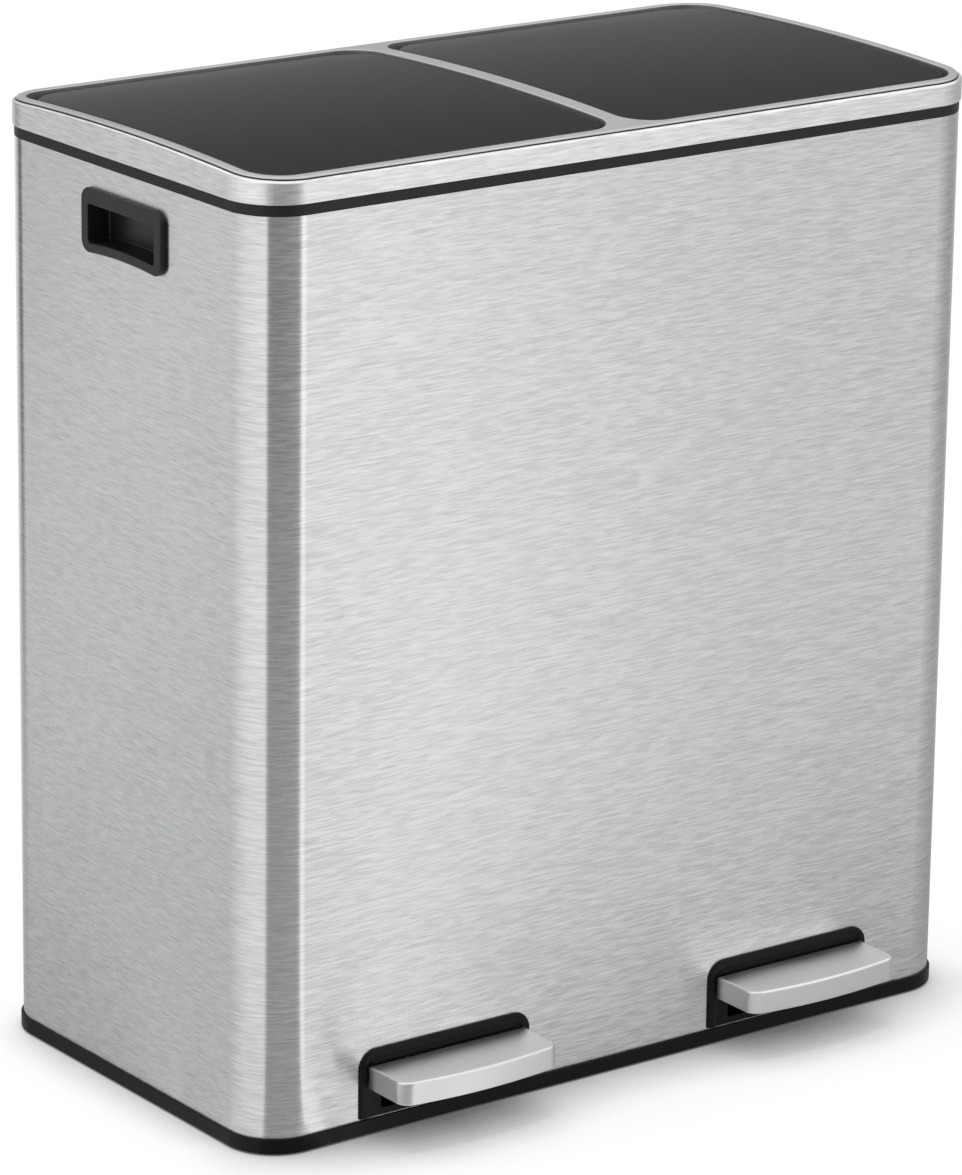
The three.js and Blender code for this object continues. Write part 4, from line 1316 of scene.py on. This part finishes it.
@dataclass
class Lid:
    """A black lid: arched polished top, rim turned down on three sides, two hinge knuckles."""

    plan: Plan
    width: float = 274.4
    front: float = -146.0
    rear: float = 145.0
    front_corner: float = 28.0
    rear_corner: float = 37.0
    rear_dip: float = 0.8
    dip_start: float = 105.0
    top: float = 648.8
    under: float = 645.5
    rim_bottom: float = 638.5
    rim_wall: float = 2.0
    edge: float = 2.8
    rim_stop: float = 125.5
    knuckle_width: float = 11.0

    def lift(self, y: float, z: float) -> float:
        """Returns how far a point of the lid rises.

        Args:
            y: the point's place from front to back, mm.
            z: its height, mm.

        Returns:
            The rise: none for the rim's lower edge, never down for the underside, which the crank
            is on, and a little less for the top's rear edge, which turns close to the frame.
        """
        rise = self.plan.crown(y)
        if z < self.under - 1:
            return 0.0
        if z < self.under + 0.4:
            return max(rise, 0.0)
        dip = max(y - self.dip_start, 0.0) / (self.rear - self.dip_start)
        return rise - self.rear_dip * dip * dip * (z - self.under) / (self.top - self.under)

    def build(self, finishes: Finishes) -> None:
        """Builds and dresses both lids.

        Args:
            finishes: the built materials.
        """
        plan, under, half = self.plan, self.under, self.width / 2
        outline = Outline(
            -half, half, self.front, self.rear, self.front_corner, self.rear_corner, steps=18
        )
        corners = [
            (-self.rim_wall - 3, under, 0),
            (-self.rim_wall, under, 0.8),
            (-self.rim_wall, self.rim_bottom, 0.6),
            (0, self.rim_bottom, 0.8),
            (0, self.top, self.edge),
            (-self.edge - 1, self.top, 0),
        ]
        stop = Outline.square(-half - 5, half + 5, self.rim_stop, self.rear + 5)
        reach = plan.hinge_radius
        front, rear = plan.hinge_y - reach, plan.hinge_y + reach
        low = plan.hinge_z - reach
        knuckle = Outline(front, rear, low, under + 0.6, reach - SQUARE, SQUARE, steps=8)
        for side in Side:
            middle = side.value * plan.side_centre
            base = Former(middle=middle).solid(outline, eased(corners, 6)).crown(self.lift)
            clear = Former(middle=middle).block(stop, self.rim_bottom - 2, under)
            tools = [(Operation.CUT, clear)]
            for hinge in plan.hinges:
                left = middle + hinge - self.knuckle_width / 2
                right = left + self.knuckle_width
                tools.append((Operation.JOIN, Former(Plane.SIDE).block(knuckle, left, right)))
                tools.append(plan.bore(left, right))
            name, node = f"{side.word}_lid_panel", f"{side.word}_lid"
            dress(name, worked(name, base, tools), [finishes.lid], node, node)


@dataclass
class Bucket:
    """A lift-out bucket: tapered wall, rolled rim and a hand slot in each side."""

    plan: Plan
    lip: float = 3.0
    wall: float = 2.0
    taper: float = 5.0
    rim_height: float = 3.0
    slot_length: float = 84.0
    slot_height: float = 24.0
    slot_drop: float = 16.0
    slot_corner: float = 4.0

    def build(self, finishes: Finishes) -> None:
        """Builds and dresses both buckets.

        Args:
            finishes: the built materials.
        """
        plan = self.plan
        top, bottom = plan.bucket_top, plan.bucket_bottom
        rim, floor = top - self.rim_height, bottom + self.wall
        foot = -self.lip - self.taper
        inner = foot - self.wall
        corners = [
            (inner - 9, floor, 0),
            (inner, floor, 7.0),
            (-self.lip - self.wall, top, 1.2),
            (0, top, 1.2),
            (0, rim, 0.5),
            (-self.lip, rim, 0.5),
            (foot, bottom, 6.0),
            (foot - 8, bottom, 0),
        ]
        centre, half, high = plan.bucket_centre, self.slot_length / 2, top - self.slot_drop
        low, corner = high - self.slot_height, self.slot_corner
        mouth = Outline(centre - half, centre + half, low, high, corner, corner)
        for side in Side:
            middle, reach = side.value * plan.side_centre, plan.bucket_width
            base = Former(middle=middle).solid(plan.bucket(16), eased(corners, 5))
            slot = Former(Plane.SIDE).block(mouth, middle - reach, middle + reach)
            name, node = f"{side.word}_bucket_liner", f"{side.word}_bucket"
            mesh = worked(name, base, [(Operation.CUT, slot)])
            dress(name, mesh, [finishes.bucket], "root", node)


@dataclass
class Pedal:
    """A pedal: plate with rounded edges, round front corners and a bowed front, hollow below."""

    plan: Plan
    width: float = 127.0
    reach: float = 40.4
    bow: float = 4.0
    bottom: float = 33.5
    top: float = 49.5
    corner: float = 10.0
    rear_corner: float = 0.8
    edge: float = 1.7
    wall: float = 3.0
    roof: float = 3.0
    socket_half: float = 9.3
    socket_wall: float = 5.0
    socket_front: float = -190.1
    tongue_top: float = 44.5
    tongue_bottom: float = 38.5

    def build(self, finishes: Finishes) -> None:
        """Builds and dresses both pedals.

        Args:
            finishes: the built materials.
        """
        half, rear, roof = self.width / 2, self.plan.pedal_rear, self.top - self.roof
        front = rear - self.reach
        plate = Outline(
            -half, half, front, rear, self.corner, self.rear_corner, self.bow, steps=12
        )
        corners = [
            (-self.wall - 3, roof, 0),
            (-self.wall, roof, 1.0),
            (-self.wall, self.bottom, 0.5),
            (0, self.bottom, 0.9),
            (0, self.top, self.edge),
            (-self.edge - 1, self.top, 0),
        ]
        inner, outer = self.socket_half, self.socket_half + self.socket_wall
        front = self.socket_front
        boss = Outline(-outer, outer, front - self.socket_wall, rear - 1.0, 1.0, 1.0)
        socket = Outline(-inner, inner, front, rear + 3, 0.3, SQUARE)
        for side in Side:
            middle = side.value * self.plan.side_centre
            block = Former(middle=middle).block(boss, self.bottom + 0.4, self.top - 1.5)
            hole = Former(middle=middle).block(
                socket, self.tongue_bottom - GAP, self.tongue_top + GAP
            )
            base = Former(middle=middle).solid(plate, eased(corners, 5))
            name, node = f"{side.word}_foot_pedal", f"{side.word}_pedal"
            mesh = worked(name, base, [(Operation.JOIN, block), (Operation.CUT, hole)])
            dress(name, mesh, [finishes.pedal], node, node)


# Studio


@dataclass
class Studio:
    """Floor, backdrop light, sun and the camera."""

    plan: Plan
    # The camera, where the photograph's stood: place in mm, turns in degrees, lens in mm.
    camera_place: tuple[float, float, float] = (-2272.7, -3060.6, 1465.6)
    yaw: float = 36.538
    pitch: float = 16.999
    roll: float = 0.76
    lens: float = 179.33
    sensor: float = 36.0
    clip_end: float = 100.0
    # The light on the object: the same from all round, and a broad soft box overhead.
    ambient: float = 0.5
    lamp_toward: tuple[float, float, float] = (-0.02, 0.06, 1.0)
    lamp_width: float = 16.0
    lamp_strength: float = 1.9
    # What glossy surfaces mirror above the cards: heights are z of the direction.
    overhead: float = 1.2
    overhead_band: Point = (0.40, 0.52)
    backdrop_band: Point = (0.08, 0.34)
    backdrop_top: float = 0.45
    backdrop_side: Point = (0.2, 0.5)
    # The floor: radius, drop under the feet in mm, and its own grey as a diffuse surface.
    floor_radius: float = 9000.0
    floor_drop: float = 0.2
    paper: float = 0.8
    # The floor's mirror image in the steel, by the distance from the bin in m.
    far_band: Point = (0.85, 1.55)
    near_band: Point = (0.08, 0.6)
    near_share: float = 0.84
    # The bin's shadow: reach in mm, and how open the sky is where it ends in front and elsewhere.
    shadow_reach: float = 75.0
    shadow_ends: Point = (0.92, 0.76)
    shadow_turn: float = 40.0
    glow: float = 0.75
    # White cards stand to the right of the camera, grey ones to the left and behind; a black flag
    # beside the lens gives the corner its dark stripe, and a narrow one behind the bin its dark
    # left-hand edge. A grey card straight behind the bin keeps the black lids dark.
    # Each row is a bearing in degrees from the front, positive to the left, and how bright it is far
    # off and near the bin.
    # fmt: off
    gleams: tuple[Corner, ...] = (
        (-180, 0.75, 0.70), (-174, 0.92, 0.82), (-163, 0.95, 0.95), (-156, 0.42, 0.80),
        (-128, 0.42, 0.75), (-118, 0.58, 0.60), (-95, 0.44, 0.46), (-75, 0.50, 0.56),
        (-54, 0.72, 0.80), (-47, 0.70, 0.98), (-42, 0.80, 1.16), (-40.4, 0.84, 1.16),
        (-38.5, 0.99, 1.15), (-37.7, 1.04, 1.09), (-35.5, 1.06, 0.92), (-31, 1.08, 0.90),
        (-28, 1.40, 1.30), (-19, 1.40, 1.30), (-17.5, 0.33, 0.48), (51, 0.16, 0.46),
        (53, 1.09, 1.01), (85, 1.02, 0.98), (110, 0.92, 0.90), (130, 0.82, 0.77),
        (144, 0.84, 0.71), (146.3, 0.84, 0.71), (147.6, 0.83, 0.79), (150, 0.81, 0.78),
        (155, 0.35, 0.68), (159, 0.12, 0.64), (166, 0.12, 0.60), (171, 0.60, 0.60),
    )
    # fmt: on
    # A colour ramp holds levels up to 1, so it is given each level over the brightest there may be.
    brightest: float = 2.0

    def camera(self) -> None:
        """Places the camera where the photograph's stood."""
        yaw, pitch, roll = (math.radians(a) for a in (self.yaw, self.pitch, self.roll))
        level = math.cos(pitch)
        ahead = Vector((math.sin(yaw) * level, math.cos(yaw) * level, -math.sin(pitch)))
        right = Vector((math.cos(yaw), -math.sin(yaw), 0))
        up = right.cross(ahead)
        leaned_right = right * math.cos(roll) + up * math.sin(roll)
        leaned_up = up * math.cos(roll) - right * math.sin(roll)
        data = bpy.data.cameras.new("camera")
        data.lens, data.sensor_width, data.clip_end = self.lens, self.sensor, self.clip_end
        camera = new_object("camera", data)
        turn = Matrix((leaned_right, leaned_up, -ahead)).transposed().to_4x4()
        place = (Vector(self.camera_place) + Former.shift) * MM
        camera.matrix_world = Matrix.Translation(place) @ turn
        bpy.context.scene.camera = camera

    def lamp(self) -> None:
        """Hangs the broad soft box overhead; the world stands for its mirror image."""
        data = bpy.data.lights.new("overhead_soft_box", "SUN")
        data.angle, data.energy = math.radians(self.lamp_width), self.lamp_strength
        lamp = new_object("overhead_soft_box", data)
        lamp.rotation_mode = "QUATERNION"
        lamp.rotation_quaternion = Vector(self.lamp_toward).to_track_quat("Z", "Y")
        lamp.visible_glossy = False

    def mirrored(self, tree: Tree, east: Source, north: Source) -> tuple[Node, Node]:
        """Looks up what the steel mirrors in a direction.

        Args:
            tree: the node tree.
            east: x of the direction.
            north: y of the direction.

        Returns:
            The brightness far off and near the bin.
        """
        turned = [
            add(tree, "Math", {"operation": "MULTIPLY", 1: -1.0}, {0: axis})
            for axis in (east, north)
        ]
        links = {0: turned[0], 1: turned[1]}
        bearing = add(tree, "Math", {"operation": "ARCTAN2"}, links)
        circle = {"From Min": -math.pi, "From Max": math.pi}
        share = add(tree, "MapRange", circle, {"Value": bearing})
        found = []
        for column in (1, 2):
            ramp = add(tree, "ValToRGB", {}, {"Fac": share})
            stops = ramp.color_ramp.elements
            for i, gleam in enumerate(self.gleams):
                place, level = gleam[0] / 360 + 0.5, gleam[column] / self.brightest
                stop = stops[i] if i < 2 else stops.new(place)
                stop.position, stop.color = place, (level, level, level, 1)
            settings = {"operation": "MULTIPLY", 1: self.brightest}
            found.append(add(tree, "Math", settings, {0: ramp}))
        return found[0], found[1]

    def world(self) -> None:
        """Lights the scene from all round: white to the camera, shaped for what mirrors it."""
        world = bpy.data.worlds.new("studio")
        bpy.context.scene.world = world
        tree = cleared(world)
        direction = add(tree, "TexCoord").outputs["Generated"]
        split = add(tree, "SeparateXYZ", links={0: direction})
        east, north, height = split.outputs
        far, _ = self.mirrored(tree, east, north)
        # The soft box, as the steel mirrors it, draws the bright lines along the rounded edges.
        low, high = self.overhead_band
        above = add(tree, "MapRange", {"From Min": low, "From Max": high}, {"Value": height})
        # The backdrop behind darkens upwards, which deepens the lids' black towards the front.
        low, high = self.backdrop_band
        settings = {"From Min": low, "From Max": high, "To Min": 1.0, "To Max": self.backdrop_top}
        upward = add(tree, "MapRange", settings, {"Value": height})
        low, high = self.backdrop_side
        behind = add(tree, "MapRange", {"From Min": low, "From Max": high}, {"Value": north})
        links = {0: behind, 3: upward}
        fading = add(tree, "Mix", {"data_type": "FLOAT", 2: 1.0}, links)
        cards = add(tree, "Math", {"operation": "MULTIPLY"}, {0: far, 1: fading})
        links = {0: above, 2: cards}
        seen = add(tree, "Mix", {"data_type": "FLOAT", 3: self.overhead}, links)
        path = add(tree, "LightPath").outputs
        links = {0: path["Is Glossy Ray"], 3: seen}
        glossy = add(tree, "Mix", {"data_type": "FLOAT", 2: self.ambient}, links)
        links = {0: path["Is Camera Ray"], 1: path["Is Transmission Ray"]}
        plain = add(tree, "Math", {"operation": "MAXIMUM"}, links)
        links = {0: plain, 2: glossy}
        strength = add(tree, "Mix", {"data_type": "FLOAT", 3: 1.0}, links)
        sky = add(tree, "Background", {"Color": (1, 1, 1, 1)}, {"Strength": strength})
        add(tree, "OutputWorld", links={"Surface": sky})

    def mirror_image(self, tree: Tree, place: Source, centred: Source) -> Node:
        """Adds what the steel mirrors of the floor: the cards' image, which fades to the bin.

        Args:
            tree: the floor's node tree.
            place: the point's place.
            centred: its place from the casing's middle.

        Returns:
            The shader.
        """
        plan = self.plan
        corner = Vector((plan.corner - plan.width / 2, plan.front + plan.corner, 0))
        settings = {"operation": "SUBTRACT", 1: tuple((corner + Former.shift) * MM)}
        apart = add(tree, "VectorMath", settings, {0: place})
        split = add(tree, "SeparateXYZ", links={0: apart})
        far, near = self.mirrored(tree, split.outputs[0], split.outputs[1])
        size = add(tree, "VectorMath", {"operation": "ABSOLUTE"}, {0: centred})
        half = (plan.width / 2 * MM, plan.depth / 2 * MM, 0)
        beyond = add(tree, "VectorMath", {"operation": "SUBTRACT", 1: half}, {0: size})
        sides = add(tree, "SeparateXYZ", links={0: beyond})
        links = {0: sides.outputs[0], 1: sides.outputs[1]}
        outside = add(tree, "Math", {"operation": "MAXIMUM"}, links)
        low, high = self.far_band
        settings = {"From Min": low, "From Max": high, "interpolation_type": "SMOOTHSTEP"}
        away = add(tree, "MapRange", settings, {"Value": outside})
        links = {0: away, 2: near, 3: far}
        level = add(tree, "Mix", {"data_type": "FLOAT"}, links)
        low, high = self.near_band
        settings = {"From Min": low, "From Max": high, "To Min": self.near_share}
        close = add(tree, "MapRange", settings, {"Value": outside})
        links = {0: level, 1: close}
        gleam = add(tree, "Math", {"operation": "MULTIPLY"}, links)
        return add(tree, "Emission", links={"Strength": gleam})

    def shadowed(self, tree: Tree, place: Source, centred: Source) -> Node:
        """Adds what the camera sees of the floor: white paper, but for the bin's soft shadow.

        Args:
            tree: the floor's node tree.
            place: the point's place.
            centred: its place from the casing's middle.

        Returns:
            The shader.
        """
        reach = {"samples": 12, "Distance": self.shadow_reach * MM}
        open_sky = add(tree, "AmbientOcclusion", reach)
        # The shadow runs further out in front of the bin than at its sides and back.
        low, high = self.plan.front * MM, (self.plan.front + self.shadow_turn) * MM
        front, sides = self.shadow_ends
        ahead = add(tree, "SeparateXYZ", links={0: centred})
        settings = {"From Min": low, "From Max": high, "To Min": front, "To Max": sides}
        ends = add(tree, "MapRange", settings, {"Value": ahead.outputs[1]})
        links = {"Value": open_sky.outputs["AO"], "From Max": ends}
        lit = add(tree, "MapRange", links=links)
        fibre = noise(tree, place, (3, 3, 3), 2.0)
        tone = add(tree, "MapRange", {"To Min": 0.985}, {"Value": fibre})
        links = {0: lit, 1: tone}
        seen = add(tree, "Math", {"operation": "MULTIPLY"}, links)
        # Most of its white is its own glow, so that the lamp's own shadow stays faint.
        parts = [
            add(tree, "Math", {"operation": "MULTIPLY", 1: share}, {0: seen})
            for share in (self.glow, 1 - self.glow)
        ]
        backlight = add(tree, "Emission", links={"Strength": parts[0]})
        card = add(tree, "BsdfDiffuse", links={"Color": parts[1]})
        return add(tree, "AddShader", links={0: card, 1: backlight})

    def floor(self) -> None:
        """Lays the pale floor: white to the camera but for the bin's soft shadow."""
        former = Former()
        former.cap(former.loop(Outline.circle(self.floor_radius, steps=16), -self.floor_drop))
        floor = new_object("floor", former.mesh("floor"))
        material = bpy.data.materials.new("white_paper_sweep")
        tree = cleared(material)
        place = add(tree, "NewGeometry").outputs["Position"]
        settings = {"operation": "SUBTRACT", 1: tuple(Former.shift * MM)}
        centred = add(tree, "VectorMath", settings, {0: place})
        sweep = self.shadowed(tree, place, centred)
        shown = self.mirror_image(tree, place, centred)
        paper = add(tree, "BsdfDiffuse", {"Color": (self.paper, self.paper, self.paper, 1)})
        path = add(tree, "LightPath").outputs
        links = {0: path["Is Camera Ray"], 1: paper, 2: sweep}
        plain = add(tree, "MixShader", links=links)
        links = {0: path["Is Glossy Ray"], 1: plain, 2: shown}
        whole = add(tree, "MixShader", links=links)
        add(tree, "OutputMaterial", links={"Surface": whole})
        floor.data.materials.append(material)

    def build(self) -> None:
        """Sets up the whole studio."""
        self.camera()
        self.world()
        self.floor()
        self.lamp()
        bpy.context.scene.view_settings.view_transform = "Standard"
        LOG.info("studio: camera, world, floor and overhead light")


# The whole bin


@dataclass
class SmallParts:
    """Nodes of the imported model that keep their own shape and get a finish."""

    words: dict[str, str] = field(
        default_factory=lambda: {
            "hinge_pin": "zinc",
            "buffer": "rubber",
            "crank_roller": "nylon",
            "crank": "zinc",
            "push_rod": "zinc",
            "rod_cap": "nylon",
            "rod_guide": "trim",
            "damper_cylinder": "trim",
            "damper_piston": "zinc",
            "pedal_lever": "zinc",
            "pivot_pin": "zinc",
            "pivot_bracket": "zinc",
            "bracket_screw": "zinc",
        }
    )

    def dress(self, nodes: dict[str, bpy.types.Object], finishes: Finishes) -> None:
        """Gives each shown node its finish.

        Args:
            nodes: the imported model's nodes, by name.
            finishes: the built materials.
        """
        for name, node in nodes.items():
            if node.hide_render:
                continue
            kind = next(k for k in self.words if name.endswith(k))
            finish = getattr(finishes, self.words[kind])
            node.data.materials.clear()
            node.data.materials.append(finish)
            LOG.info("%s: packed solid in %s", name, finish.name)


def main() -> None:
    """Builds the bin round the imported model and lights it."""
    logging.basicConfig(level=logging.INFO, format="%(name)s: %(message)s")
    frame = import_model()
    rim_low, rim_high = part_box("lid_frame")
    Former.shift = Vector((0, (rim_low.y + rim_high.y) / 2 / MM, 0))
    plan = Plan()
    finishes = Finishes.make()
    grip, surround = Grip(plan), Surround(plan)
    pieces = [Base(plan, surround), Casing(plan, grip, surround), Collar(plan), LidFrame(plan)]
    pieces += [grip, surround, Bucket(plan), Lid(plan), Pedal(plan)]
    for piece in pieces:
        piece.build(finishes)
    SmallParts().dress(frame["nodes"], finishes)
    Studio(plan).build()


if __name__ == "__main__":
    main()
